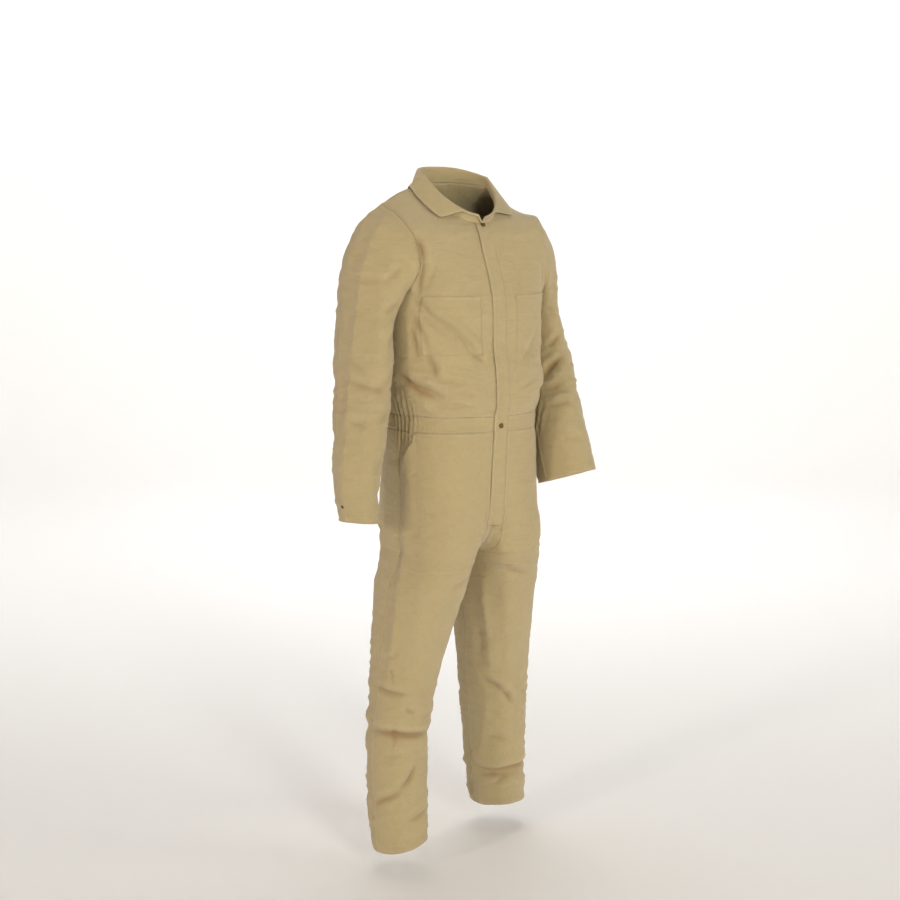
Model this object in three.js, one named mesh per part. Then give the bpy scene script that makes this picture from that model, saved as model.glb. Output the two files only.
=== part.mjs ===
// Boiler suit as worn: cloth panels that keep the form and pose of the wearer.
// Millimetres, +Z up. The wearer faces -Y and the wearer's left is +X.
import * as THREE from 'three';

// Driving sizes. Heights in the tables are above the floor that the wearer stands on.
const CLOTH = 1.6; // thickness of the cloth
const SEAM_GAP = 0.3; // space between two pieces where they are sewn
const LAID_GAP = 0.7; // space under a piece that lies on a panel
const HOLD_HEIGHT = 1500; // where the wearer's shoulders carry the suit, the frame's origin
const WAIST_TOP = 1005; // seam between bodice and waistband
const WAIST_BOTTOM = 971; // seam between waistband and trousers
const FLY_BOTTOM = 762; // where the placket strip ends
const CROTCH = 696; // where the two legs part
const THIGH_SEAM = 668; // lower edge of the hip pocket panels
const PLACKET_RIGHT = 15; // placket's free edge, on the wearer's right of the middle
const PLACKET_LEFT = 22; // placket's stitched edge, on the wearer's left
const NECK = { out: 82, frontY: -72, frontZ: 1414, sideY: 20, sideZ: 1493, backY: 92, backZ: 1503 };
const SHOULDER = { out: 190, y: 24, rightZ: 1453, leftZ: 1431, rightFull: 11, leftFull: -5 };
const COLLAR = { stand: 31, frontStand: 16, roll: 5, rest: 4.6 };
// Length of the leaf by its share of the way from the front end to the middle of the back.
const LEAF = [
  { share: 0, length: 3 },
  { share: 0.2, length: 3 },
  { share: 0.34, length: 45 },
  { share: 0.6, length: 40 },
  { share: 1, length: 40 },
];
const RIGHT = -1; // the wearer's sides, as signs of X
const LEFT = 1;
const GATHERS = { count: 20, columnsEach: 4, depth: 2.6 };
const SNAP = { radius: 5.5, height: 2.4 };
const FOLD_REACH = 45; // how deep under the cloth a fold's straight line may lie

// How finely the panels are divided.
const HALF_COLUMNS = 11; // centre line to side seam
const NECK_COLUMNS = 4; // of those, the ones under the collar
const LOW_ROWS = 9; // waist to armpit
const ARMHOLE_ROWS = 8; // armpit to shoulder
const ARMPIT_ROW = 4; // the bodice tables' row at the armpit
const SLEEVE_ROWS = 22;

// Bodice rows from the waist up. Each goes from the centre line to the side seam or the armhole.
const FRONT_ROWS = [
  { centreY: -142, centreZ: WAIST_TOP, out: 163, sideY: 0, sideZ: WAIST_TOP, square: 2.3 },
  { centreY: -150, centreZ: 1032, out: 171, sideY: 2, sideZ: 1032, square: 2.4 },
  { centreY: -151, centreZ: 1075, out: 178, sideY: 4, sideZ: 1075, square: 2.5 },
  { centreY: -140, centreZ: 1140, out: 181, sideY: 8, sideZ: 1140, square: 2.5 },
  { centreY: -139, centreZ: 1237, out: 186, sideY: 14, sideZ: 1245, square: 2.5 },
  { centreY: -128, centreZ: 1287, out: 174, sideY: -58, sideZ: 1280, square: 2.2 },
  { centreY: -110, centreZ: 1333, out: 165, sideY: -84, sideZ: 1325, square: 2.0 },
  { centreY: -94, centreZ: 1370, out: 169, sideY: -76, sideZ: 1378, square: 1.8 },
  { centreY: -82, centreZ: 1397, out: 180, sideY: -36, sideZ: 1425, square: 1.7 },
];
const BACK_ROWS = [
  { centreY: 138, centreZ: WAIST_TOP, out: 163, sideY: 0, sideZ: WAIST_TOP, square: 2.3 },
  { centreY: 146, centreZ: 1032, out: 171, sideY: 2, sideZ: 1032, square: 2.4 },
  { centreY: 148, centreZ: 1075, out: 178, sideY: 4, sideZ: 1075, square: 2.5 },
  { centreY: 142, centreZ: 1140, out: 181, sideY: 8, sideZ: 1140, square: 2.5 },
  { centreY: 143, centreZ: 1240, out: 186, sideY: 14, sideZ: 1245, square: 2.5 },
  { centreY: 142, centreZ: 1290, out: 181, sideY: 78, sideZ: 1280, square: 2.2 },
  { centreY: 136, centreZ: 1345, out: 177, sideY: 102, sideZ: 1330, square: 2.0 },
  { centreY: 124, centreZ: 1400, out: 180, sideY: 100, sideZ: 1383, square: 1.9 },
  { centreY: 106, centreZ: 1455, out: 186, sideY: 72, sideZ: 1427, square: 1.8 },
];

// Sleeve rings from the armhole to the hem: outer and inner line, middle, half depth and how far
// the ring's front is raised where the forearm comes forward.
const RIGHT_SLEEVE = [
  { along: 0.0, outer: 190, outerZ: 1453, inner: 186, innerZ: 1245, y: 10, depth: 94, raise: 0 },
  { along: 0.06, outer: 226, outerZ: 1430, inner: 193, innerZ: 1228, y: 14, depth: 90, raise: 0 },
  { along: 0.14, outer: 252, outerZ: 1388, inner: 196, innerZ: 1205, y: 18, depth: 86, raise: 0 },
  { along: 0.24, outer: 271, outerZ: 1330, inner: 194, innerZ: 1182, y: 22, depth: 84, raise: 0 },
  { along: 0.34, outer: 280, outerZ: 1245, inner: 190, innerZ: 1155, y: 22, depth: 84, raise: 0 },
  { along: 0.45, outer: 292, outerZ: 1150, inner: 190, innerZ: 1118, y: 16, depth: 82, raise: 0 },
  { along: 0.6, outer: 307, outerZ: 1050, inner: 202, innerZ: 1032, y: 6, depth: 72, raise: 0 },
  { along: 0.75, outer: 322, outerZ: 958, inner: 220, innerZ: 944, y: -6, depth: 62, raise: 2 },
  { along: 0.9, outer: 331, outerZ: 862, inner: 240, innerZ: 850, y: -16, depth: 53, raise: 3 },
  { along: 1.0, outer: 323, outerZ: 790, inner: 244, innerZ: 783, y: -23, depth: 48, raise: 1 },
];
const LEFT_SLEEVE = [
  { along: 0.0, outer: 190, outerZ: 1431, inner: 186, innerZ: 1245, y: 10, depth: 94, raise: 0 },
  { along: 0.06, outer: 216, outerZ: 1404, inner: 193, innerZ: 1228, y: 14, depth: 90, raise: 0 },
  { along: 0.14, outer: 237, outerZ: 1377, inner: 196, innerZ: 1205, y: 20, depth: 86, raise: 0 },
  { along: 0.24, outer: 248, outerZ: 1325, inner: 194, innerZ: 1182, y: 28, depth: 81, raise: 0 },
  { along: 0.34, outer: 258, outerZ: 1245, inner: 190, innerZ: 1158, y: 32, depth: 78, raise: 0 },
  { along: 0.45, outer: 274, outerZ: 1162, inner: 188, innerZ: 1126, y: 22, depth: 76, raise: 4 },
  { along: 0.6, outer: 282, outerZ: 1074, inner: 184, innerZ: 1058, y: -8, depth: 73, raise: 16 },
  { along: 0.75, outer: 281, outerZ: 994, inner: 175, innerZ: 984, y: -40, depth: 71, raise: 24 },
  { along: 0.9, outer: 281, outerZ: 908, inner: 167, innerZ: 898, y: -74, depth: 70, raise: 28 },
  { along: 1.0, outer: 282, outerZ: 856, inner: 165, innerZ: 844, y: -97, depth: 70, raise: 20 },
];

// Trouser sections from the waistband down: each leg's middle, half width, depths, squareness,
// radius of the cloth where the two legs join, how far the leg stands back and how much lower
// its outer side hangs.
const RIGHT_LEG = [
  { height: WAIST_BOTTOM, centre: 0, half: 163, front: 142, back: 138, square: 2.3, join: 0, y: 0, drop: 0 },
  { height: 930, centre: 6, half: 157, front: 139, back: 150, square: 2.4, join: 4, y: 0, drop: 0 },
  { height: 880, centre: 20, half: 143, front: 134, back: 158, square: 2.5, join: 8, y: 0, drop: 0 },
  { height: 820, centre: 44, half: 117, front: 131, back: 160, square: 2.6, join: 12, y: 0, drop: 0 },
  { height: 760, centre: 68, half: 91, front: 130, back: 151, square: 2.6, join: 14, y: 0, drop: 0 },
  { height: 725, centre: 78, half: 80, front: 127, back: 142, square: 2.6, join: 14, y: 0, drop: 0 },
  { height: CROTCH, centre: 88, half: 74, front: 122, back: 132, square: 2.6, join: 14, y: 0, drop: 0 },
  { height: 650, centre: 105, half: 82, front: 118, back: 123, square: 2.6, join: 13, y: 1, drop: 0 },
  { height: 600, centre: 114, half: 81, front: 110, back: 114, square: 2.5, join: 12, y: 4, drop: 0 },
  { height: 510, centre: 130, half: 75, front: 90, back: 95, square: 2.4, join: 6, y: 8, drop: 0 },
  { height: 400, centre: 149, half: 66, front: 73, back: 78, square: 2.3, join: 0, y: 11, drop: 0 },
  { height: 290, centre: 164, half: 64, front: 69, back: 73, square: 2.2, join: 0, y: 12, drop: 0 },
  { height: 150, centre: 173, half: 63, front: 66, back: 69, square: 2.1, join: 0, y: -3, drop: 2 },
  { height: 60, centre: 176, half: 58, front: 61, back: 62, square: 2.0, join: 0, y: -18, drop: 15 },
];
const LEFT_LEG = [
  ...RIGHT_LEG.slice(0, 7),
  { height: 650, centre: 103, half: 81, front: 116, back: 122, square: 2.6, join: 13, y: 14, drop: 0 },
  { height: 600, centre: 111, half: 80, front: 108, back: 114, square: 2.5, join: 12, y: 30, drop: 0 },
  { height: 510, centre: 124, half: 79, front: 92, back: 97, square: 2.4, join: 6, y: 48, drop: 0 },
  { height: 400, centre: 142, half: 75, front: 79, back: 85, square: 2.3, join: 0, y: 70, drop: 0 },
  { height: 290, centre: 158, half: 72, front: 74, back: 79, square: 2.2, join: 0, y: 88, drop: 0 },
  { height: 150, centre: 168, half: 66, front: 68, back: 72, square: 2.1, join: 0, y: 98, drop: 0 },
  { height: 66, centre: 174, half: 61, front: 62, back: 64, square: 2.0, join: 0, y: 96, drop: -2 },
];
// Bands of rows down a leg: closer together where the cloth breaks.
const LEG_BANDS = [
  { to: FLY_BOTTOM, rows: 6 },
  { to: CROTCH, rows: 4 },
  { to: THIGH_SEAM, rows: 1 },
  { to: 450, rows: 5 },
  { to: 240, rows: 8 },
  { to: 0, rows: 5 },
];

const clamp01 = (value) => Math.min(1, Math.max(0, value));
const mix = (a, b, t) => a + (b - a) * t;
const ease = (t) => clamp01(t) ** 2 * (3 - 2 * clamp01(t));
const point = (x, y, z) => new THREE.Vector3(x, y, z);
const range = (count, make) => Array.from({ length: count }, (_, i) => make(i));

// Smooth curve through values given at rising or falling keys.
function through(keys, values, at) {
  const rising = keys[keys.length - 1] > keys[0] ? 1 : -1;
  let k = 0;
  while (k < keys.length - 2 && (at - keys[k + 1]) * rising > 0) k += 1;
  const slope = (i) => {
    const a = Math.max(0, i - 1);
    const b = Math.min(keys.length - 1, i + 1);
    return (values[b] - values[a]) / (keys[b] - keys[a]);
  };
  const step = keys[k + 1] - keys[k];
  const t = clamp01((at - keys[k]) / step);
  const start = (2 * t ** 3 - 3 * t ** 2 + 1) * values[k] + (t ** 3 - 2 * t ** 2 + t) * step * slope(k);
  const end = (3 * t ** 2 - 2 * t ** 3) * values[k + 1] + (t ** 3 - t ** 2) * step * slope(k + 1);
  return start + end;
}

// A table's row between its rows: every column follows a smooth curve.
function readTable(table, key, at) {
  const keys = table.map((row) => row[key]);
  const columns = Object.keys(table[0]);
  return Object.fromEntries(columns.map((c) => [c, through(keys, table.map((row) => row[c]), at)]));
}

// Quarter of a rounded square: how far along the two axes a direction meets it.
function quarter(angle, square) {
  const s = Math.sin(angle);
  const c = Math.cos(angle);
  const reach = (Math.abs(s) ** square + Math.abs(c) ** square) ** (-1 / square);
  return { side: s * reach, centre: c * reach };
}

// Angles of a row's columns. The second column keeps the placket's distance from the middle.
function columnAngles(first, edge, last) {
  return range(HALF_COLUMNS + 1, (i) => (i === 0 ? first : mix(edge, last, (i - 1) / (HALF_COLUMNS - 1))));
}

// Angle at which a rounded quarter lies a given share of its half width from the middle.
function angleAtShare(share, square) {
  const depth = Math.max(0, 1 - Math.abs(share) ** square) ** (1 / square);
  return Math.atan2(share, depth);
}

// One row of the bodice, as points from the centre line to the side.
function bodiceRow(row, sign, edge) {
  const cornerZ = (row.centreZ + row.sideZ) / 2;
  return columnAngles(0, angleAtShare(edge / row.out, row.square), Math.PI / 2).map((angle) => {
    const q = quarter(angle, row.square);
    return point(
      sign * row.out * q.side,
      row.sideY + (row.centreY - row.sideY) * q.centre,
      cornerZ + (row.centreZ - cornerZ) * q.centre + (row.sideZ - cornerZ) * q.side,
    );
  });
}

// The top row: along the neckline to the shoulder's inner end, then along the shoulder seam.
function topRow(front, sign, edge) {
  const endY = front ? NECK.frontY : NECK.backY;
  const endZ = front ? NECK.frontZ : NECK.backZ;
  const start = Math.asin(edge / NECK.out);
  return range(HALF_COLUMNS + 1, (i) => {
    if (i <= NECK_COLUMNS) {
      const angle = i === 0 ? 0 : mix(start, Math.PI / 2, (i - 1) / (NECK_COLUMNS - 1));
      return point(
        sign * NECK.out * Math.sin(angle),
        mix(NECK.sideY, endY, Math.cos(angle)),
        mix(endZ, NECK.sideZ, 1 - Math.cos(angle)),
      );
    }
    const t = (i - NECK_COLUMNS) / (HALF_COLUMNS - NECK_COLUMNS);
    const tip = sign === RIGHT ? SHOULDER.rightZ : SHOULDER.leftZ;
    const full = sign === RIGHT ? SHOULDER.rightFull : SHOULDER.leftFull;
    return point(
      sign * mix(NECK.out, SHOULDER.out, t),
      mix(NECK.sideY, SHOULDER.y, t),
      mix(NECK.sideZ, tip, t) + full * Math.sin(Math.PI * t),
    );
  });
}

// Rows of half a bodice panel from the waist to the top, evenly spaced along the side.
function bodiceHalf(table, front, sign, edge) {
  const keyRows = [...table.map((row) => bodiceRow(row, sign, edge)), topRow(front, sign, edge)];
  const keys = [0];
  for (let k = 1; k < keyRows.length; k += 1) {
    const a = keyRows[k - 1][HALF_COLUMNS];
    const b = keyRows[k][HALF_COLUMNS];
    keys.push(keys[k - 1] + a.distanceTo(b));
  }
  const armpit = keys[ARMPIT_ROW];
  const top = keys[keys.length - 1];
  return range(LOW_ROWS + ARMHOLE_ROWS + 1, (j) => {
    const low = (j / LOW_ROWS) * armpit;
    const high = mix(armpit, top, (j - LOW_ROWS) / ARMHOLE_ROWS);
    const at = j <= LOW_ROWS ? low : high;
    return range(HALF_COLUMNS + 1, (i) => {
      const sideSeam = i === HALF_COLUMNS && j <= LOW_ROWS;
      const used = sideSeam ? ARMPIT_ROW + 1 : keys.length;
      const column = keyRows.slice(0, used).map((row) => row[i]);
      const along = (axis) => through(keys.slice(0, used), column.map((p) => p[axis]), at);
      return point(along('x'), along('y'), along('z'));
    });
  });
}

// Sleeve: rings from the armhole down, blended from the armhole's own loop.
function sleeveRings(table, sign, loop) {
  const count = loop.length;
  const ring = (at) => {
    const row = readTable(table, 'along', at);
    return range(count, (k) => {
      const angle = (2 * Math.PI * k) / count;
      const up = -Math.cos(angle);
      const ahead = Math.sin(angle);
      const out = mix(row.inner, row.outer, (up + 1) / 2);
      const z = mix(row.innerZ, row.outerZ, (up + 1) / 2) + row.raise * ahead;
      return point(sign * out, row.y - row.depth * ahead, z);
    });
  };
  const armhole = ring(0);
  return range(SLEEVE_ROWS + 1, (j) => {
    const at = (j / SLEEVE_ROWS) ** 1.15;
    const left = 1 - ease(at / 0.3);
    return ring(at).map((p, k) => p.addScaledVector(loop[k].clone().sub(armhole[k]), left));
  });
}

// A leg's section as points from the inner end, round the front or the back, to the side seam.
function legRow(table, height, front, sign, edge) {
  const row = readTable(table, 'height', height);
  const depth = front ? -row.front : row.back;
  const inner = Math.min(1, Math.max(0, (row.centre - row.join) / row.half));
  const first = -angleAtShare(inner, row.square);
  const reach = Math.hypot(edge, row.join);
  const nearEdge = angleAtShare((reach - row.centre) / row.half, row.square);
  const even = mix(first, Math.PI / 2, 1 / HALF_COLUMNS);
  const below = ease((FLY_BOTTOM - height) / 60);
  const second = height > FLY_BOTTOM - 60 ? mix(nearEdge, even, below) : even;
  return columnAngles(first, second, Math.PI / 2).map((angle) => {
    const q = quarter(angle, row.square);
    const out = row.centre + row.half * q.side;
    const joined = angle === first && height >= CROTCH ? 0 : Math.sqrt(Math.max(0, out ** 2 - row.join ** 2));
    return point(sign * joined, row.y + depth * q.centre, height - row.drop * q.side);
  });
}

function legHeights(table) {
  const bottom = table[table.length - 1].height;
  const heights = [WAIST_BOTTOM];
  for (const band of LEG_BANDS) {
    const from = heights[heights.length - 1];
    const to = Math.max(band.to, bottom);
    heights.push(...range(band.rows, (k) => mix(from, to, (k + 1) / band.rows)));
  }
  return heights;
}

// Outward direction at every point of a grid of rows.
function gridNormals(rows, outward, closed) {
  const last = rows[0].length - 1;
  return rows.map((row, j) =>
    row.map((p, i) => {
      const up = rows[Math.min(j + 1, rows.length - 1)][i];
      const down = rows[Math.max(j - 1, 0)][i];
      const next = closed ? row[(i + 1) % row.length] : row[Math.min(i + 1, last)];
      const before = closed ? row[(i + last) % row.length] : row[Math.max(i - 1, 0)];
      const across = next.clone().sub(before);
      return across.cross(up.clone().sub(down)).multiplyScalar(outward).normalize();
    }),
  );
}

const spot = (p) => [p.x, p.y, p.z].map((v) => Math.round(v * 20)).join(' ');

// Points on the border of a panel's grid, with the step towards its inside.
function borderSteps(panel) {
  const { rows, closed } = panel;
  const steps = [];
  const last = rows[0].length - 1;
  rows.forEach((row, j) =>
    row.forEach((p, i) => {
      const step = point(0, 0, 0);
      const towards = (q) => {
        const way = q.clone().sub(p);
        if (way.length() > 1e-6) step.add(way.normalize());
      };
      if (j === 0) towards(rows[1][i]);
      if (j === rows.length - 1) towards(rows[j - 1][i]);
      if (!closed && i === 0) towards(row[1]);
      if (!closed && i === last) towards(row[last - 1]);
      if (step.length() > 0) steps.push({ i, j, p, step });
    }),
  );
  return steps;
}

// Gives panels whose borders meet one shared outward direction there.
function shareNormals(pieces) {
  const shared = new Map();
  for (const piece of pieces) {
    piece.normals = gridNormals(piece.rows, piece.outward, piece.closed);
    for (const { i, j, p } of borderSteps(piece)) {
      const sum = shared.get(spot(p)) ?? point(0, 0, 0);
      shared.set(spot(p), sum.add(piece.normals[j][i]));
    }
  }
  for (const piece of pieces) {
    for (const { i, j, p } of borderSteps(piece)) {
      piece.normals[j][i] = shared.get(spot(p)).clone().normalize();
    }
  }
}

// Draws every border back by half a seam gap.
function drawBack(pieces) {
  for (const piece of pieces) {
    for (const { i, j, p, step } of borderSteps(piece)) {
      piece.rows[j][i] = p.clone().addScaledVector(step, SEAM_GAP / 2);
    }
  }
}

// Closed wall between two grids of points. Points that coincide are one vertex.
function wallGeometry(outer, inner, closed, outward) {
  const positions = [];
  const numbers = new Map();
  const triangles = [];
  const vertex = (p) => {
    const key = [p.x, p.y, p.z].map((v) => v.toFixed(3)).join(' ');
    if (!numbers.has(key)) {
      numbers.set(key, positions.length / 3);
      positions.push(p.x, p.y, p.z - HOLD_HEIGHT);
    }
    return numbers.get(key);
  };
  const triangle = (a, b, c) => {
    const [x, y, z] = [vertex(a), vertex(b), vertex(c)];
    if (x === y || y === z || z === x) return;
    triangles.push(...(outward > 0 ? [x, y, z] : [x, z, y]));
  };
  const face = (a, b, c, d, shortWay = a.distanceTo(c) <= b.distanceTo(d)) => {
    if (shortWay) {
      triangle(a, b, c);
      triangle(a, c, d);
    } else {
      triangle(a, b, d);
      triangle(b, c, d);
    }
    return shortWay;
  };
  const count = outer[0].length;
  const steps = closed ? count : count - 1;
  for (let j = 0; j + 1 < outer.length; j += 1) {
    for (let i = 0; i < steps; i += 1) {
      const n = (i + 1) % count;
      const way = face(outer[j][i], outer[j][n], outer[j + 1][n], outer[j + 1][i]);
      face(inner[j][i], inner[j + 1][i], inner[j + 1][n], inner[j][n], way);
    }
    if (!closed) {
      face(outer[j][0], outer[j + 1][0], inner[j + 1][0], inner[j][0]);
      face(outer[j][count - 1], inner[j][count - 1], inner[j + 1][count - 1], outer[j + 1][count - 1]);
    }
  }
  const top = outer.length - 1;
  for (let i = 0; i < steps; i += 1) {
    const n = (i + 1) % count;
    face(outer[0][i], inner[0][i], inner[0][n], outer[0][n]);
    face(outer[top][i], outer[top][n], inner[top][n], inner[top][i]);
  }
  const geometry = new THREE.BufferGeometry();
  geometry.setAttribute('position', new THREE.Float32BufferAttribute(positions, 3));
  geometry.setIndex(triangles);
  geometry.computeVertexNormals();
  return geometry;
}

const suit = new THREE.Group();

function addMesh(name, geometry, colour, roughness, metalness) {
  const material = new THREE.MeshStandardMaterial({ color: colour, roughness, metalness });
  const mesh = new THREE.Mesh(geometry, material);
  mesh.name = name;
  suit.add(mesh);
}

const CLOTH_COLOUR = '#bba87b';
const addCloth = (name, geometry) => addMesh(name, geometry, CLOTH_COLOUR, 0.9, 0);

const shift = (rows, normals, by) =>
  rows.map((row, j) => row.map((p, i) => p.clone().addScaledVector(normals[j][i], by)));

function addPanel(panel) {
  const inner = shift(panel.rows, panel.normals, -CLOTH);
  addCloth(panel.name, wallGeometry(panel.rows, inner, panel.closed, panel.outward));
}

// The panels, as rows of points before they are sewn.
const edgeOf = (sign) => (sign === RIGHT ? PLACKET_RIGHT : PLACKET_LEFT);
const frontHalves = new Map([RIGHT, LEFT].map((s) => [s, bodiceHalf(FRONT_ROWS, true, s, edgeOf(s))]));
const backHalves = new Map([RIGHT, LEFT].map((s) => [s, bodiceHalf(BACK_ROWS, false, s, edgeOf(s))]));

function fullBack(halfRows) {
  const right = halfRows(RIGHT);
  const left = halfRows(LEFT);
  return right.map((row, j) => [...row.slice(1).reverse(), ...left[j]]);
}

function armholeLoop(sign) {
  const side = (half) => half.slice(LOW_ROWS).map((row) => row[HALF_COLUMNS]);
  const front = side(frontHalves.get(sign));
  const back = side(backHalves.get(sign));
  return [...front, ...back.slice(1, -1).reverse()].map((p) => p.clone());
}

function legRows(table, front, sign) {
  return legHeights(table).map((height) => legRow(table, height, front, sign, edgeOf(sign)));
}

const bandRow = (z, depth, sign) =>
  bodiceRow({ centreY: depth, centreZ: z, out: 163, sideY: 0, sideZ: z, square: 2.3 }, sign, edgeOf(sign));
const bandRows = (depth, sign) => [bandRow(WAIST_TOP, depth, sign), bandRow(WAIST_BOTTOM, depth, sign)];

// The back of the waistband, drawn in by elastic into even gathers.
function gatheredBand() {
  const columns = GATHERS.count * GATHERS.columnsEach;
  return range(3, (j) =>
    range(columns + 1, (i) => {
      const t = i / columns;
      const q = quarter(Math.PI * (t - 0.5), 2.3);
      const wave = GATHERS.depth * Math.sin(Math.PI * GATHERS.count * t) ** 2 * ease(8 * Math.min(t, 1 - t));
      const size = 1 - wave / 150;
      return point(163 * q.side * size, 138 * q.centre * size, mix(WAIST_TOP, WAIST_BOTTOM, j / 2));
    }),
  );
}

const sleeveOf = (table, side) => sleeveRings(table, side, armholeLoop(side));

const panels = [
  { name: 'bodice_front_right', rows: frontHalves.get(RIGHT), outward: -1 },
  { name: 'bodice_front_left', rows: frontHalves.get(LEFT), outward: 1 },
  { name: 'bodice_back', rows: fullBack((s) => backHalves.get(s)), outward: -1 },
  { name: 'waistband_front_right', rows: bandRows(-142, RIGHT), outward: 1 },
  { name: 'waistband_front_left', rows: bandRows(-142, LEFT), outward: -1 },
  { name: 'waistband_back', rows: gatheredBand(), outward: 1 },
  { name: 'trouser_front_right', rows: legRows(RIGHT_LEG, true, RIGHT), outward: 1 },
  { name: 'trouser_front_left', rows: legRows(LEFT_LEG, true, LEFT), outward: -1 },
  { name: 'trouser_back_right', rows: legRows(RIGHT_LEG, false, RIGHT), outward: -1 },
  { name: 'trouser_back_left', rows: legRows(LEFT_LEG, false, LEFT), outward: 1 },
  { name: 'sleeve_right', rows: sleeveOf(RIGHT_SLEEVE, RIGHT), outward: 1, closed: true },
  { name: 'sleeve_left', rows: sleeveOf(LEFT_SLEEVE, LEFT), outward: -1, closed: true },
];

// Largest folds as lines on the cloth, with the depth of the trough (or the height of a ridge).
const FOLDS = [
  // bodice, wearer's right
  { x: -165, y: -75, z: 1253, toX: -41, toY: -141, toZ: 1124, width: 16, push: -6 },
  { x: -155, y: -95, z: 1200, toX: -95, toY: -130, toZ: 1110, width: 22, push: 3 },
  { x: -167, y: -70, z: 1222, toX: -141, toY: -108, toZ: 1087, width: 15, push: -5 },
  { x: -181, y: -13, z: 1098, toX: -124, toY: -118, toZ: 1050, width: 14, push: -6 },
  // bodice, wearer's left and back
  { x: 160, y: -80, z: 1225, toX: 70, toY: -138, toZ: 1120, width: 18, push: -4 },
  { x: 181, y: -10, z: 1085, toX: 130, toY: -115, toZ: 1048, width: 14, push: -5 },
  { x: -165, y: 95, z: 1250, toX: -70, toY: 142, toZ: 1120, width: 20, push: -5 },
  { x: 165, y: 95, z: 1235, toX: 75, toY: 142, toZ: 1105, width: 20, push: -5 },
  // sleeves
  { x: -241, y: -63, z: 1057, toX: -298, toY: -13, toZ: 1090, width: 16, push: -4 },
  { x: -205, y: 90, z: 1130, toX: -285, toY: 60, toZ: 1085, width: 16, push: -5 },
  { x: 240, y: -60, z: 1125, toX: 190, toY: -48, toZ: 1066, width: 14, push: -7 },
  { x: 200, y: 70, z: 1075, toX: 275, toY: 45, toZ: 1100, width: 15, push: -5 },
  // right leg
  { x: -225, y: 3, z: 310, toX: -120, toY: -42, toZ: 304, width: 15, push: -8 },
  { x: -213, y: 26, z: 408, toX: -175, toY: -58, toZ: 400, width: 16, push: -5 },
  { x: -200, y: -30, z: 355, toX: -150, toY: -55, toZ: 350, width: 20, push: 3 },
  { x: -235, y: -5, z: 150, toX: -166, toY: -60, toZ: 236, width: 15, push: -5 },
  { x: -192, y: -74, z: 120, toX: -130, toY: -50, toZ: 136, width: 15, push: -4 },
  { x: -215, y: 55, z: 385, toX: -110, toY: 65, toZ: 400, width: 16, push: -6 },
  { x: -205, y: 60, z: 300, toX: -120, toY: 65, toZ: 285, width: 16, push: -5 },
  // left leg
  { x: 103, y: 82, z: 159, toX: 208, toY: 45, toZ: 158, width: 13, push: -9 },
  { x: 118, y: 56, z: 118, toX: 204, toY: 42, toZ: 120, width: 16, push: 4 },
  { x: 84, y: 25, z: 380, toX: 153, toY: 5, toZ: 315, width: 16, push: -5 },
  { x: 105, y: 140, z: 400, toX: 200, toY: 130, toZ: 385, width: 16, push: -6 },
  { x: 115, y: 155, z: 290, toX: 210, toY: 140, toZ: 300, width: 16, push: -5 },
];

// How far the folds push a point of the cloth outwards. The distance from a fold's line is taken
// along the cloth, and a fold reaches only the wall that its line lies near.
function foldPush(p, normal) {
  return FOLDS.reduce((sum, fold) => {
    const line = new THREE.Line3(point(fold.x, fold.y, fold.z), point(fold.toX, fold.toY, fold.toZ));
    const t = line.closestPointToPointParameter(p, true);
    const off = p.clone().sub(line.at(t, point(0, 0, 0)));
    const deep = off.dot(normal);
    const away = (off.lengthSq() - deep ** 2) / fold.width ** 2;
    const near = Math.exp(-((deep / FOLD_REACH) ** 2));
    return sum + fold.push * near * Math.exp(-away) * (0.35 + 0.65 * Math.sin(Math.PI * t));
  }, 0);
}

shareNormals(panels);
for (const panel of panels) {
  panel.rows = panel.rows.map((row, j) =>
    row.map((p, i) => p.clone().addScaledVector(panel.normals[j][i], foldPush(p, panel.normals[j][i]))),
  );
}

// The strip over the front opening follows both fronts, the waistband and the fly.
const named = (name) => panels.find((panel) => panel.name === name).rows;
const across = (right, left) => right.map((row, j) => [row[1], row[0], left[j][1]]);
const flyRows = LEG_BANDS[0].rows + 1;
const stripRows = [
  ...across(named('bodice_front_right'), named('bodice_front_left')).reverse(),
  ...across(named('trouser_front_right'), named('trouser_front_left')).slice(0, flyRows),
];

// Point at a fractional column of a row, on the straight line between its neighbours.
function between(row, column) {
  const low = Math.min(Math.floor(column), row.length - 2);
  return row[low].clone().lerp(row[low + 1], column - low);
}

// Part of a panel between two columns in each row. Its columns are the panel's own, held between
// the two edges, so the piece lies on the panel's faces.
function patchOf(rows, normals, fromEdge, toEdge) {
  const held = (i, j) => Math.min(Math.max(i, fromEdge(j)), toEdge(j));
  const pick = (grid) => grid.map((row, j) => row.map((_, i) => between(row, held(i, j))));
  return { rows: pick(rows), normals: pick(normals).map((row) => row.map((n) => n.normalize())) };
}

function addOverlay(name, patch, outward) {
  const inner = shift(patch.rows, patch.normals, LAID_GAP);
  const outer = shift(patch.rows, patch.normals, LAID_GAP + CLOTH);
  addCloth(name, wallGeometry(outer, inner, false, outward));
}

const stripNormals = gridNormals(stripRows, -1, false);
addOverlay('front_placket', { rows: stripRows, normals: stripNormals }, -1);

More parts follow.
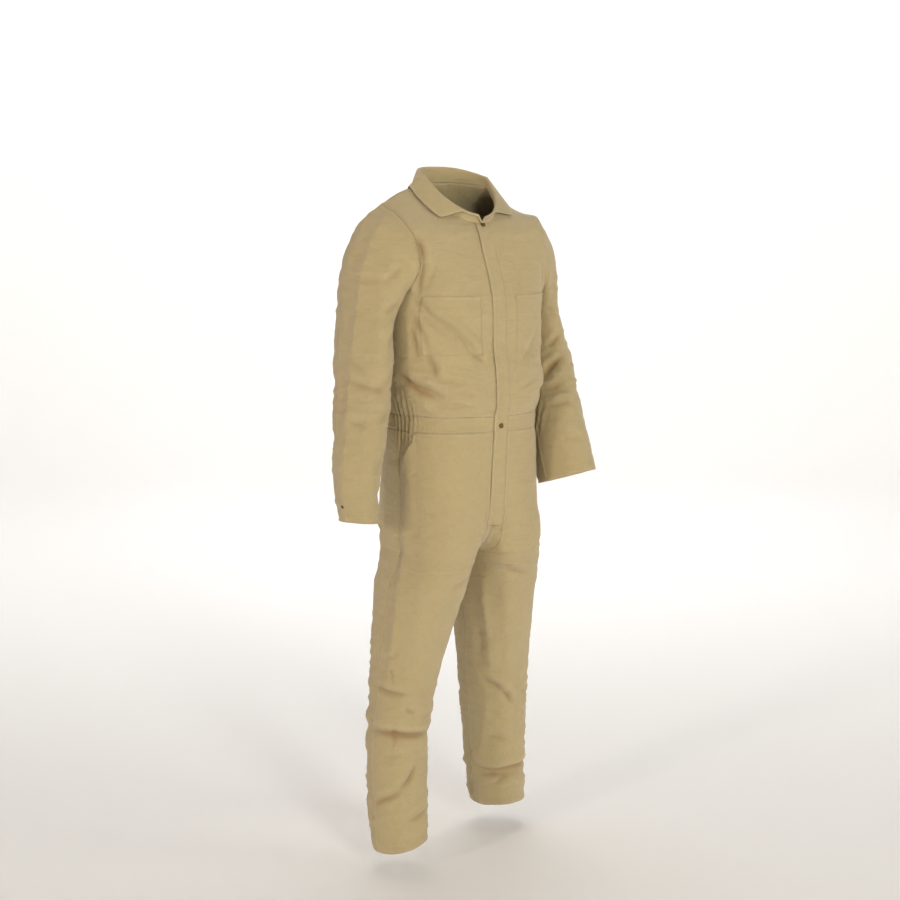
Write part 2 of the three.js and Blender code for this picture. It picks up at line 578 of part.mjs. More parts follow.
// Chest pockets lie on the bodice fronts, hip pocket panels on the trouser fronts.
const CHEST_POCKET = { fromRow: 5, toRow: 10, inner: 2, outer: 7 };
const HIP_POCKET = { inner: 1.02, opening: 8.6, side: 10.75, openingRows: 3 };
for (const side of ['right', 'left']) {
  const bodice = panels.find((panel) => panel.name === `bodice_front_${side}`);
  const { fromRow, toRow, inner, outer } = CHEST_POCKET;
  const pocket = patchOf(
    bodice.rows.slice(fromRow, toRow + 1),
    bodice.normals.slice(fromRow, toRow + 1),
    () => inner,
    () => outer,
  );
  addOverlay(`chest_pocket_${side}`, pocket, bodice.outward);

  const trouser = panels.find((panel) => panel.name === `trouser_front_${side}`);
  const last = LEG_BANDS.slice(0, 3).reduce((sum, band) => sum + band.rows, 0) + 1;
  const slant = (j) => mix(HIP_POCKET.opening, HIP_POCKET.side, clamp01(j / HIP_POCKET.openingRows));
  const hip = patchOf(
    trouser.rows.slice(0, last),
    trouser.normals.slice(0, last),
    () => HIP_POCKET.inner,
    slant,
  );
  addOverlay(`hip_pocket_${side}`, hip, trouser.outward);
}

// Collar: a stand that rises from the neckline, rolls over and comes down as a leaf on the cloth.
// Stations run from the wearer's right front end round the back to the left one.
function collarStations() {
  const top = LOW_ROWS + ARMHOLE_ROWS;
  const line = (name) => panels.find((panel) => panel.name === name).rows[top];
  const front = (name) => line(name).slice(0, NECK_COLUMNS + 1);
  const behind = line('bodice_back').slice(HALF_COLUMNS - NECK_COLUMNS + 1, HALF_COLUMNS + NECK_COLUMNS);
  return [...front('bodice_front_right'), ...behind, ...front('bodice_front_left').reverse()];
}

// Height of the bodice straight above or below a place, or nothing beside it.
function bodiceHeight(x, y) {
  let best = null;
  for (const { rows } of panels.slice(0, 3)) {
    for (let j = LOW_ROWS; j + 1 < rows.length; j += 1) {
      for (let i = 0; i + 1 < rows[j].length; i += 1) {
        const corners = [rows[j][i], rows[j][i + 1], rows[j + 1][i + 1], rows[j + 1][i]];
        for (const [a, b, c] of [corners.slice(0, 3), [corners[0], corners[2], corners[3]]]) {
          const area = (b.x - a.x) * (c.y - a.y) - (b.y - a.y) * (c.x - a.x);
          const u = ((x - a.x) * (c.y - a.y) - (y - a.y) * (c.x - a.x)) / area;
          const v = ((b.x - a.x) * (y - a.y) - (b.y - a.y) * (x - a.x)) / area;
          if (u < -1e-6 || v < -1e-6 || u + v > 1 + 1e-6) continue;
          const z = a.z + u * (b.z - a.z) + v * (c.z - a.z);
          best = best === null ? z : Math.max(best, z);
        }
      }
    }
  }
  return best;
}

// Place on the bodice reached by going outwards over the cloth for a given length.
function placeAlong(foot, outward, length) {
  let here = foot.clone();
  for (let d = 1, gone = 0; gone < length; d += 1) {
    const next = foot.clone().addScaledVector(outward, d);
    next.z = bodiceHeight(next.x, next.y) ?? here.z - 1.5;
    gone += next.distanceTo(here);
    here = next;
  }
  return here;
}

function leafLength(share) {
  const next = LEAF.findIndex((row) => row.share >= share && row.share > 0);
  const [a, b] = [LEAF[next - 1], LEAF[next]];
  return mix(a.length, b.length, (share - a.share) / (b.share - a.share));
}

function collarRows() {
  const stations = collarStations();
  const last = stations.length - 1;
  return stations.map((foot, k) => {
    const outward = point(foot.x, foot.y - NECK.sideY, 0).normalize();
    const share = Math.min(k, last - k) / (last / 2);
    const stand = mix(COLLAR.frontStand, COLLAR.stand, ease(share * 1.2));
    const leaf = leafLength(share);
    const end = placeAlong(foot, outward, leaf).addScaledVector(outward, COLLAR.rest);
    end.z += COLLAR.rest;
    const at = (out, up) => foot.clone().addScaledVector(outward, out).add(point(0, 0, up));
    const start = at(COLLAR.roll, stand);
    return [
      at(0, SEAM_GAP),
      at(-0.5, stand * 0.5),
      at(0, stand),
      at(COLLAR.roll * 0.5, stand + COLLAR.roll * 0.5),
      start,
      start.clone().lerp(end, 0.35).addScaledVector(outward, 2.5),
      start.clone().lerp(end, 0.7).addScaledVector(outward, 2),
      end,
    ];
  });
}
const collar = { name: 'collar', rows: collarRows(), outward: 1 };

shareNormals([...panels, collar]);
drawBack(panels);
panels.forEach(addPanel);
addPanel(collar);

// Snap: a low dome that sits on the cloth.
function snapGeometry() {
  const { radius, height } = SNAP;
  const profile = [
    new THREE.Vector2(0, 0),
    new THREE.Vector2(radius, 0),
    new THREE.Vector2(radius, height * 0.45),
    new THREE.Vector2(radius * 0.78, height * 0.85),
    new THREE.Vector2(0, height),
  ];
  return new THREE.LatheGeometry(profile, 16).rotateX(Math.PI / 2);
}

function addSnap(name, place, normal) {
  addMesh(name, snapGeometry(), '#5b4a34', 0.4, 0.8);
  const snap = suit.getObjectByName(name);
  snap.quaternion.setFromUnitVectors(point(0, 0, 1), normal);
  snap.position.copy(place).addScaledVector(normal, 0.6).add(point(0, 0, -HOLD_HEIGHT));
}

// Middle of one face of a grid and the face's outward direction.
function onFace(rows, j, i, t, u, outward) {
  const n = (i + 1) % rows[j].length;
  const [a, b, c, d] = [rows[j][i], rows[j][n], rows[j + 1][n], rows[j + 1][i]];
  const place = a.clone().lerp(b, t).lerp(d.clone().lerp(c, t), u);
  const normal = b.clone().sub(a).cross(d.clone().sub(a)).multiplyScalar(outward).normalize();
  return { place, normal };
}

// The two snaps of the placket, and the one on the outer side of each cuff.
const stripFace = shift(stripRows, stripNormals, LAID_GAP + CLOTH);
const besideMiddle = 0.16;
const neckSnap = onFace(stripFace, 0, 1, besideMiddle, 0.4, -1);
addSnap('snap_neck', neckSnap.place, neckSnap.normal);
const waistSnap = onFace(stripFace, LOW_ROWS + ARMHOLE_ROWS, 1, besideMiddle, 0.62, -1);
addSnap('snap_waist', waistSnap.place, waistSnap.normal);
for (const side of ['right', 'left']) {
  const sleeve = panels.find((panel) => panel.name === `sleeve_${side}`);
  const outermost = sleeve.rows[0].length / 2 - 1;
  const cuff = onFace(sleeve.rows, SLEEVE_ROWS - 1, outermost, 0.5, 0.1, sleeve.outward);
  addSnap(`snap_cuff_${side}`, cuff.place, cuff.normal);
}

export default suit;
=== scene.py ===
"""Boiler suit of washed cotton twill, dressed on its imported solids.

The garment keeps its worn form. Sizes are millimetres above the floor until a mesh is made; meshes
are metres in the frame of the solids.
"""
import logging
import math
from dataclasses import dataclass, field
from enum import Enum
from typing import Callable, ClassVar, Optional, Sequence

import bpy
import numpy as np
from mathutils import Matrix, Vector
from mathutils.bvhtree import BVHTree


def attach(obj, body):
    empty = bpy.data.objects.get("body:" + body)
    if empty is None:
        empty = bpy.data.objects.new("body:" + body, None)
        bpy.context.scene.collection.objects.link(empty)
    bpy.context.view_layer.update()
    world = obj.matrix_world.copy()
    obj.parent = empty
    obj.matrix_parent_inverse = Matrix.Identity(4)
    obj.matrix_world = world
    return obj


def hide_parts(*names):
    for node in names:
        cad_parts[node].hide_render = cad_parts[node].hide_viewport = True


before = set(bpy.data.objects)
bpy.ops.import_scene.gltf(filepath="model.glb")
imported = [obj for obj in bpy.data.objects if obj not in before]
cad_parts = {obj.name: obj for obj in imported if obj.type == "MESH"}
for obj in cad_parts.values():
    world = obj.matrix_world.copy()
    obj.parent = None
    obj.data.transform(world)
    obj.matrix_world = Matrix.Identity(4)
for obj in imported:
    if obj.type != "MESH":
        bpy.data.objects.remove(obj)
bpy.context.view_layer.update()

LOG = logging.getLogger("boiler_suit")

HOLD_HEIGHT = 1500.0  # height of the frame's origin, where the suit is held at the shoulders
WAIST_TOP = 1005.0
WAIST_BOTTOM = 971.0
FLY_BOTTOM = 762.0
CROTCH = 696.0
THIGH_SEAM = 668.0
PLACKET_EDGE = {-1: 15.0, 1: 22.0}  # placket's edges on the wearer's right and left of the middle
HALF = 11  # columns of the solids' grid from the centre line to the side seam
NECK_COLUMNS = 4
LOW_ROWS = 9
ARMHOLE_ROWS = 8
ARMPIT_KEY = 4
SLEEVE_ROWS = 22
FINE = 6  # grid lines drawn here for each one of the solids, across
FINE_DOWN = 8  # and down
CLOTH_THICK = 0.95  # heavy twill of about 300 grams a square metre
RIGHT, LEFT = -1, 1


def clamp01(value: np.ndarray) -> np.ndarray:
    """Holds values between 0 and 1."""
    return np.clip(value, 0.0, 1.0)


def mix(a: np.ndarray, b: np.ndarray, t: np.ndarray) -> np.ndarray:
    """Straight line from a to b at t."""
    return a + (b - a) * t


def ease(t: np.ndarray) -> np.ndarray:
    """Smooth step: three times t squared less twice t cubed, held between 0 and 1."""
    t = clamp01(np.asarray(t, float))
    return t * t * (3 - 2 * t)


def through(keys: Sequence[float], values: np.ndarray, at: np.ndarray) -> np.ndarray:
    """Cubic Hermite curve through values at keys, slopes from each key's two neighbours.

    Args:
        keys: rising or falling key positions.
        values: one value, or array of values, for each key.
        at: places to read.

    Returns:
        The values at those places, first axis the places.
    """
    keys = np.asarray(keys, float)
    values = np.asarray(values, float)
    at = np.atleast_1d(np.asarray(at, float))
    way = 1.0 if keys[-1] > keys[0] else -1.0
    k = np.clip(np.searchsorted(keys * way, at * way) - 1, 0, len(keys) - 2)
    before = np.maximum(np.arange(len(keys)) - 1, 0)
    after = np.minimum(np.arange(len(keys)) + 1, len(keys) - 1)
    shape = (-1,) + (1,) * (values.ndim - 1)
    slope = (values[after] - values[before]) / (keys[after] - keys[before]).reshape(shape)
    step = (keys[k + 1] - keys[k]).reshape(shape)
    t = clamp01((at - keys[k]).reshape(shape) / step)
    start = (2 * t**3 - 3 * t**2 + 1) * values[k] + (t**3 - 2 * t**2 + t) * step * slope[k]
    end = (3 * t**2 - 2 * t**3) * values[k + 1] + (t**3 - t**2) * step * slope[k + 1]
    return start + end


@dataclass(frozen=True)
class SizeTable:
    """Short table of sizes with named columns."""

    names: str
    rows: Sequence[Sequence[float]]

    def column(self, name: str) -> np.ndarray:
        """One column of the table."""
        return np.asarray(self.rows, float)[:, self.names.split().index(name)]

    def read(self, key: str, at: np.ndarray) -> dict[str, np.ndarray]:
        """Every column at places along the key column, on smooth curves."""
        keys = self.column(key)
        return {name: through(keys, self.column(name), at) for name in self.names.split()}


# Bodice rows from the waist up, from the centre line to the side seam or the armhole.
BODICE_NAMES = "centre_y centre_z out side_y side_z square"
FRONT_ROWS = SizeTable(BODICE_NAMES, [
    (-142, WAIST_TOP, 163, 0, WAIST_TOP, 2.3),
    (-150, 1032, 171, 2, 1032, 2.4),
    (-151, 1075, 178, 4, 1075, 2.5),
    (-140, 1140, 181, 8, 1140, 2.5),
    (-139, 1237, 186, 14, 1245, 2.5),
    (-128, 1287, 174, -58, 1280, 2.2),
    (-110, 1333, 165, -84, 1325, 2.0),
    (-94, 1370, 169, -76, 1378, 1.8),
    (-82, 1397, 180, -36, 1425, 1.7),
])
BACK_ROWS = SizeTable(BODICE_NAMES, [
    (138, WAIST_TOP, 163, 0, WAIST_TOP, 2.3),
    (146, 1032, 171, 2, 1032, 2.4),
    (148, 1075, 178, 4, 1075, 2.5),
    (142, 1140, 181, 8, 1140, 2.5),
    (143, 1240, 186, 14, 1245, 2.5),
    (142, 1290, 181, 78, 1280, 2.2),
    (136, 1345, 177, 102, 1330, 2.0),
    (124, 1400, 180, 100, 1383, 1.9),
    (106, 1455, 186, 72, 1427, 1.8),
])
SLEEVE_NAMES = "along outer outer_z inner inner_z y depth raised"
SLEEVES = {
    RIGHT: SizeTable(SLEEVE_NAMES, [
        (0.0, 190, 1453, 186, 1245, 10, 94, 0),
        (0.06, 226, 1430, 193, 1228, 14, 90, 0),
        (0.14, 252, 1388, 196, 1205, 18, 86, 0),
        (0.24, 271, 1330, 194, 1182, 22, 84, 0),
        (0.34, 280, 1245, 190, 1155, 22, 84, 0),
        (0.45, 292, 1150, 190, 1118, 16, 82, 0),
        (0.6, 307, 1050, 202, 1032, 6, 72, 0),
        (0.75, 322, 958, 220, 944, -6, 62, 2),
        (0.9, 331, 862, 240, 850, -16, 53, 3),
        (1.0, 323, 790, 244, 783, -23, 48, 1),
    ]),
    LEFT: SizeTable(SLEEVE_NAMES, [
        (0.0, 190, 1431, 186, 1245, 10, 94, 0),
        (0.06, 216, 1404, 193, 1228, 14, 90, 0),
        (0.14, 237, 1377, 196, 1205, 20, 86, 0),
        (0.24, 248, 1325, 194, 1182, 28, 81, 0),
        (0.34, 258, 1245, 190, 1158, 32, 78, 0),
        (0.45, 274, 1162, 188, 1126, 22, 76, 4),
        (0.6, 282, 1074, 184, 1058, -8, 73, 16),
        (0.75, 281, 994, 175, 984, -40, 71, 24),
        (0.9, 281, 908, 167, 898, -74, 70, 28),
        (1.0, 282, 856, 165, 844, -97, 70, 20),
    ]),
}
LEG_NAMES = "height centre half front back square join y drop"
SHARED_LEG = [
    (WAIST_BOTTOM, 0, 163, 142, 138, 2.3, 0, 0, 0),
    (930, 6, 157, 139, 150, 2.4, 4, 0, 0),
    (880, 20, 143, 134, 158, 2.5, 8, 0, 0),
    (820, 44, 117, 131, 160, 2.6, 12, 0, 0),
    (760, 68, 91, 130, 151, 2.6, 14, 0, 0),
    (725, 78, 80, 127, 142, 2.6, 14, 0, 0),
    (CROTCH, 88, 74, 122, 132, 2.6, 14, 0, 0),
]
LEGS = {
    RIGHT: SizeTable(LEG_NAMES, SHARED_LEG + [
        (650, 105, 82, 118, 123, 2.6, 13, 1, 0),
        (600, 114, 81, 110, 114, 2.5, 12, 4, 0),
        (510, 130, 75, 90, 95, 2.4, 6, 8, 0),
        (400, 149, 66, 73, 78, 2.3, 0, 11, 0),
        (290, 164, 64, 69, 73, 2.2, 0, 12, 0),
        (150, 173, 63, 66, 69, 2.1, 0, -3, 2),
        (60, 176, 58, 61, 62, 2.0, 0, -18, 15),
    ]),
    LEFT: SizeTable(LEG_NAMES, SHARED_LEG + [
        (650, 103, 81, 116, 122, 2.6, 13, 14, 0),
        (600, 111, 80, 108, 114, 2.5, 12, 30, 0),
        (510, 124, 79, 92, 97, 2.4, 6, 48, 0),
        (400, 142, 75, 79, 85, 2.3, 0, 70, 0),
        (290, 158, 72, 74, 79, 2.2, 0, 88, 0),
        (150, 168, 66, 68, 72, 2.1, 0, 98, 0),
        (66, 174, 61, 62, 64, 2.0, 0, 96, -2),
    ]),
}
LEG_BANDS = [(FLY_BOTTOM, 6), (CROTCH, 4), (THIGH_SEAM, 1), (450, 5), (240, 8), (0, 5)]

# Main creases as lines on the cloth: where they start and end, half width, depth of the trough
# (or height of a ridge) and the height of the soft ridge beside it, above it where positive.
CREASE_NAMES = "x y z to_x to_y to_z width push beside"
CREASES = SizeTable(CREASE_NAMES, [
    # bodice, wearer's right
    (-167, -70, 1256, -41, -141, 1122, 8.5, -10.0, 4.5),
    (-165, -75, 1240, -95, -128, 1150, 7.5, -5.5, 2.6),
    (-169, -66, 1224, -155, -90, 1150, 8, -5.5, 2.0),
    (-155, -90, 1150, -138, -110, 1085, 9, -5.0, 2.0),
    (-168, -60, 1200, -163, -70, 1130, 7, -5.0, 2.0),
    (-141, -108, 1087, -85, -138, 1078, 6, -2.4, 1.2),
    (-181, -13, 1098, -124, -118, 1050, 9, -7.5, 4.6),
    (-176, -45, 1075, -140, -105, 1044, 7, -4.5, 2.5),
    (-150, -98, 1028, -60, -140, 1024, 8, -2.4, 1.4),
    (-120, -125, 1060, -50, -148, 1052, 8, -2.2, 1.2),
    (-80, -136, 1205, -30, -142, 1160, 9, -1.8, 1.0),
    (-60, -134, 1290, -50, -138, 1215, 12, -1.4, 0.6),
    (-130, -100, 1330, -150, -78, 1270, 9, -2.6, 1.2),
    (-160, -60, 1395, -163, -82, 1320, 7, -3.0, 1.5),
    (-160, -78, 1385, -160, -90, 1335, 7, -4.5, 1.5),
    (-160, -90, 1340, -166, -80, 1262, 7, -6.0, 2.5),
    # bodice, wearer's left
    (165, -76, 1240, 70, -138, 1120, 11, -5.0, 2.6),
    (172, -55, 1200, 150, -98, 1105, 9, -4.0, 2.0),
    (181, -10, 1088, 130, -115, 1048, 9, -5.5, 3.5),
    (120, -122, 1085, 45, -150, 1060, 8, -2.6, 1.4),
    (150, -80, 1330, 140, -98, 1265, 9, -2.6, 1.2),
    (60, -140, 1160, 40, -146, 1085, 12, -1.6, 0.8),
    (70, -112, 1330, 60, -135, 1230, 13, -1.5, 0.6),
    # bodice, back
    (-165, 95, 1250, -70, 142, 1120, 14, -6.0, 3.0),
    (165, 95, 1235, 75, 142, 1105, 14, -6.0, 3.0),
    (-150, 112, 1310, -90, 142, 1230, 12, -4.0, 2.0),
    (150, 112, 1320, 80, 142, 1225, 12, -4.5, 2.0),
    (-178, 40, 1110, -110, 132, 1050, 11, -6.5, 4.0),
    (178, 40, 1105, 100, 135, 1045, 11, -6.0, 4.0),
    (-60, 146, 1080, 55, 147, 1060, 10, -4.0, 2.5),
    (-30, 143, 1180, 20, 144, 1130, 14, -2.5, 1.0),
    (-150, 90, 1395, -120, 122, 1340, 10, -2.6, 1.2),
    (148, 92, 1380, 122, 122, 1330, 10, -2.6, 1.2),
    # right sleeve
    (-197, -70, 1330, -245, -66, 1290, 9, -3.4, 1.8),
    (-200, -62, 1255, -240, -62, 1225, 9, -3.6, 2.0),
    (-196, -58, 1205, -232, -66, 1160, 10, -4.0, 2.2),
    (-215, -64, 1115, -262, -58, 1060, 9, -3.0, 1.6),
    (-241, -63, 1057, -298, -13, 1090, 9, -4.4, 2.2),
    (-222, -58, 1030, -262, -54, 1002, 8, -3.0, 1.6),
    (-300, -10, 1140, -282, -48, 1100, 9, -2.6, 1.2),
    (-305, -15, 1010, -275, -52, 985, 8, -2.2, 1.2),
    (-240, -58, 930, -280, -56, 900, 9, -2.2, 1.0),
    (-205, 90, 1130, -285, 60, 1085, 10, -6.0, 3.0),
    (-215, 72, 1060, -290, 50, 1085, 9, -4.5, 2.5),
    (-212, 80, 1170, -262, 78, 1150, 10, -4.0, 2.0),
    (-230, 55, 980, -300, 35, 1010, 10, -3.0, 1.6),
    (-205, 92, 1290, -250, 80, 1230, 12, -3.0, 1.4),
    # left sleeve
    (232, -65, 1118, 192, -45, 1066, 8, -8.5, 3.5),
    (208, -40, 1140, 240, -62, 1165, 9, -5.0, 2.4),
    (190, -50, 1040, 232, -88, 1058, 9, -4.0, 2.2),
    (186, -70, 1005, 240, -105, 1015, 9, -3.0, 1.6),
    (246, -78, 1085, 272, -52, 1110, 9, -3.5, 1.6),
    (250, -90, 1020, 276, -64, 1045, 9, -3.0, 1.4),
    (198, -60, 1230, 226, -52, 1195, 10, -3.4, 1.8),
    (200, -56, 1290, 232, -48, 1255, 10, -2.8, 1.4),
    (195, -110, 940, 240, -140, 925, 10, -2.2, 1.0),
    (200, 70, 1075, 275, 45, 1100, 10, -6.0, 3.0),
    (195, 60, 1035, 270, 28, 1050, 9, -4.5, 2.2),
    (200, 90, 1150, 255, 84, 1130, 10, -4.5, 2.2),
    (190, 30, 985, 262, -2, 995, 10, -3.0, 1.6),
    # hips and seat
    (-160, -30, 955, -120, -112, 925, 9, -2.6, 1.4),
    (-30, -128, 800, -6, -128, 745, 8, -3.2, 1.6),
    (-60, -124, 775, -12, -124, 728, 8, -3.4, 1.6),
    (40, -126, 790, 8, -126, 735, 9, -3.4, 1.6),
    (-90, 150, 800, -15, 150, 745, 12, -5.0, 2.4),
    (85, 150, 795, 15, 148, 740, 12, -5.0, 2.4),
    (-150, 60, 760, -70, 140, 700, 12, -3.6, 1.8),
    (150, 60, 765, 75, 140, 705, 12, -3.6, 1.8),
    # right leg
    (-234, 6, 313, -112, -34, 303, 8, -9.0, 5.2),
    (-214, 26, 408, -172, -58, 399, 8, -5.5, 3.0),
    (-188, -52, 372, -165, -60, 352, 7, -4.0, 2.2),
    (-200, -32, 342, -206, -36, 270, 7, -3.2, 1.4),
    (-150, -58, 346, -118, -40, 338, 8, -3.4, 1.8),
    (-236, -5, 148, -202, -56, 186, 8, -6.0, 2.6),
    (-204, -56, 188, -160, -62, 240, 8, -5.5, 2.6),
    (-192, -74, 120, -128, -50, 138, 8, -4.6, 2.2),
    (-226, -20, 255, -190, -54, 268, 9, -2.4, 1.2),
    (-170, -62, 86, -132, -46, 96, 8, -2.4, 1.2),
    (-205, -20, 470, -196, -46, 500, 10, -2.4, 1.2),
    (-110, -90, 640, -30, -112, 655, 9, -3.6, 1.8),
    (-215, 55, 385, -110, 65, 400, 10, -7.0, 4.0),
    (-205, 60, 300, -120, 65, 285, 10, -6.5, 3.6),
    (-120, 82, 340, -200, 78, 352, 10, -4.0, 2.0),
    (-226, 30, 180, -150, 62, 150, 10, -4.0, 2.0),
    (-160, 85, 480, -120, 88, 460, 12, -3.0, 1.5),
    # left leg
    (100, 82, 160, 246, 72, 156, 7, -8.5, 5.4),
    (112, 66, 121, 236, 66, 118, 9, 4.5, -3.0),
    (108, 74, 137, 156, 30, 141, 6, -4.5, 2.0),
    (156, 32, 134, 116, 62, 112, 6, -4.0, 2.0),
    (84, 25, 382, 118, 6, 352, 8, -4.6, 2.4),
    (118, 6, 352, 156, 10, 312, 8, -5.0, 2.6),
    (104, 58, 240, 160, 22, 222, 9, -3.0, 1.5),
    (39, -34, 596, 70, -12, 486, 10, 2.6, 0.0),
    (60, 2, 520, 66, 14, 430, 9, -3.0, 1.0),
    (200, 58, 330, 150, 12, 350, 10, -2.6, 1.3),
    (110, -88, 645, 30, -108, 655, 9, -3.6, 1.8),
    (105, 140, 400, 200, 130, 385, 10, -7.0, 4.0),
    (115, 155, 290, 210, 140, 300, 10, -6.5, 3.6),
    (120, 168, 180, 200, 150, 170, 10, -5.0, 3.0),
    (160, 130, 500, 110, 128, 480, 12, -3.0, 1.5),
])


# Pressed edges down the sleeves and the legs, with how wide and how high they stand.
PRESSED = SizeTable("x y z to_x to_y to_z width push", [
    (-198, -6, 1433, -247, -16, 1366, 12, 2.4),
    (-247, -16, 1366, -277, -15, 1226, 12, 2.8),
    (-277, -15, 1226, -289, -14, 1147, 12, 2.8),
    (-289, -14, 1147, -314, -28, 984, 12, 2.8),
    (-314, -28, 984, -326, -35, 834, 12, 2.4),
    (-161, -33, 962, -164, -22, 712, 12, 2.6),
    (-164, -22, 712, -188, -35, 630, 12, 3.2),
    (-188, -35, 630, -202, -30, 500, 12, 3.2),
    (-202, -30, 500, -212, -20, 420, 11, 2.4),
    (30, -52, 640, 39, -34, 599, 12, 2.6),
    (39, -34, 599, 70, -11, 484, 12, 3.4),
    (70, -11, 484, 89, 8, 402, 12, 3.2),
    (92, 28, 330, 102, 57, 229, 11, 2.6),
    (102, 57, 229, 103, 82, 165, 11, 2.0),
    (-140, 100, 620, -150, 92, 430, 14, 2.2),
    (-158, 88, 380, -170, 62, 90, 14, 2.2),
    (135, 152, 600, 148, 155, 430, 14, 2.2),
    (160, 166, 370, 172, 158, 100, 14, 2.2),
    (262, -20, 1190, 270, -50, 1080, 12, 1.8),
    (272, -70, 1030, 270, -120, 880, 12, 2.0),
    (-262, 92, 1250, -290, 72, 1080, 14, 1.6),
    (258, 96, 1230, 272, 60, 1080, 14, 1.6),
])


# Heights where the suit bends or bunches, how far that reaches and how much more it crumples:
# ankles, knees, crotch, waist.
BENDS = ((110, 90, 0.9), (330, 90, 0.9), (720, 60, 0.6), (1060, 70, 0.8))
SHOULDER_OUT = 190  # beyond this across, the cloth is a sleeve


@dataclass
class Grid:
    """Rows of points in millimetres with an outward direction at each.

    Attributes:
        rows: array of rows, columns, xyz.
        outward: sign that turns across x down the grid outwards.
        closed: True where the last column meets the first.
    """

    rows: np.ndarray
    outward: int
    closed: bool = False
    normals: Optional[np.ndarray] = None
    # crease heights, which the cloth paints as shade in troughs and highlight on ridges
    crease: Optional[np.ndarray] = None

    def find_normals(self) -> None:
        """Outward direction: cross product of the differences across and along the grid."""
        if self.closed:
            across = np.roll(self.rows, -1, axis=1) - np.roll(self.rows, 1, axis=1)
        else:
            across = np.gradient(self.rows, axis=1)
        normal = np.cross(across, np.gradient(self.rows, axis=0)) * self.outward
        self.normals = normal / np.maximum(np.linalg.norm(normal, axis=2, keepdims=True), 1e-9)

    def border(self) -> np.ndarray:
        """Mask of the points on the border.

        Returns:
            True at each border point, shaped as rows by columns.
        """
        mask = np.zeros(self.rows.shape[:2], bool)
        mask[[0, -1]] = True
        if not self.closed:
            mask[:, [0, -1]] = True
        return mask

    def sample(self, down: np.ndarray, over: np.ndarray) -> tuple[np.ndarray, np.ndarray]:
        """Points and directions at fractional grid lines, straight between the four around.

        Args:
            down: fractional row of each point.
            over: fractional column of each point.

        Returns:
            Points and unit directions, shaped as down with xyz last.
        """
        count = self.rows.shape[1]
        j = np.clip(np.floor(down).astype(int), 0, self.rows.shape[0] - 2)
        low = np.floor(over).astype(int)
        i = low % count if self.closed else np.clip(low, 0, count - 2)
        n = (i + 1) % count
        t = np.clip(down - j, 0, 1)[..., None]
        u = (over - low if self.closed else np.clip(over - i, 0, 1))[..., None]

        def blend(grid: np.ndarray) -> np.ndarray:
            """Straight blend of the four neighbours."""
            return mix(mix(grid[j, i], grid[j, n], u), mix(grid[j + 1, i], grid[j + 1, n], u), t)

        normal = blend(self.normals)
        return blend(self.rows), normal / np.linalg.norm(normal, axis=-1, keepdims=True)


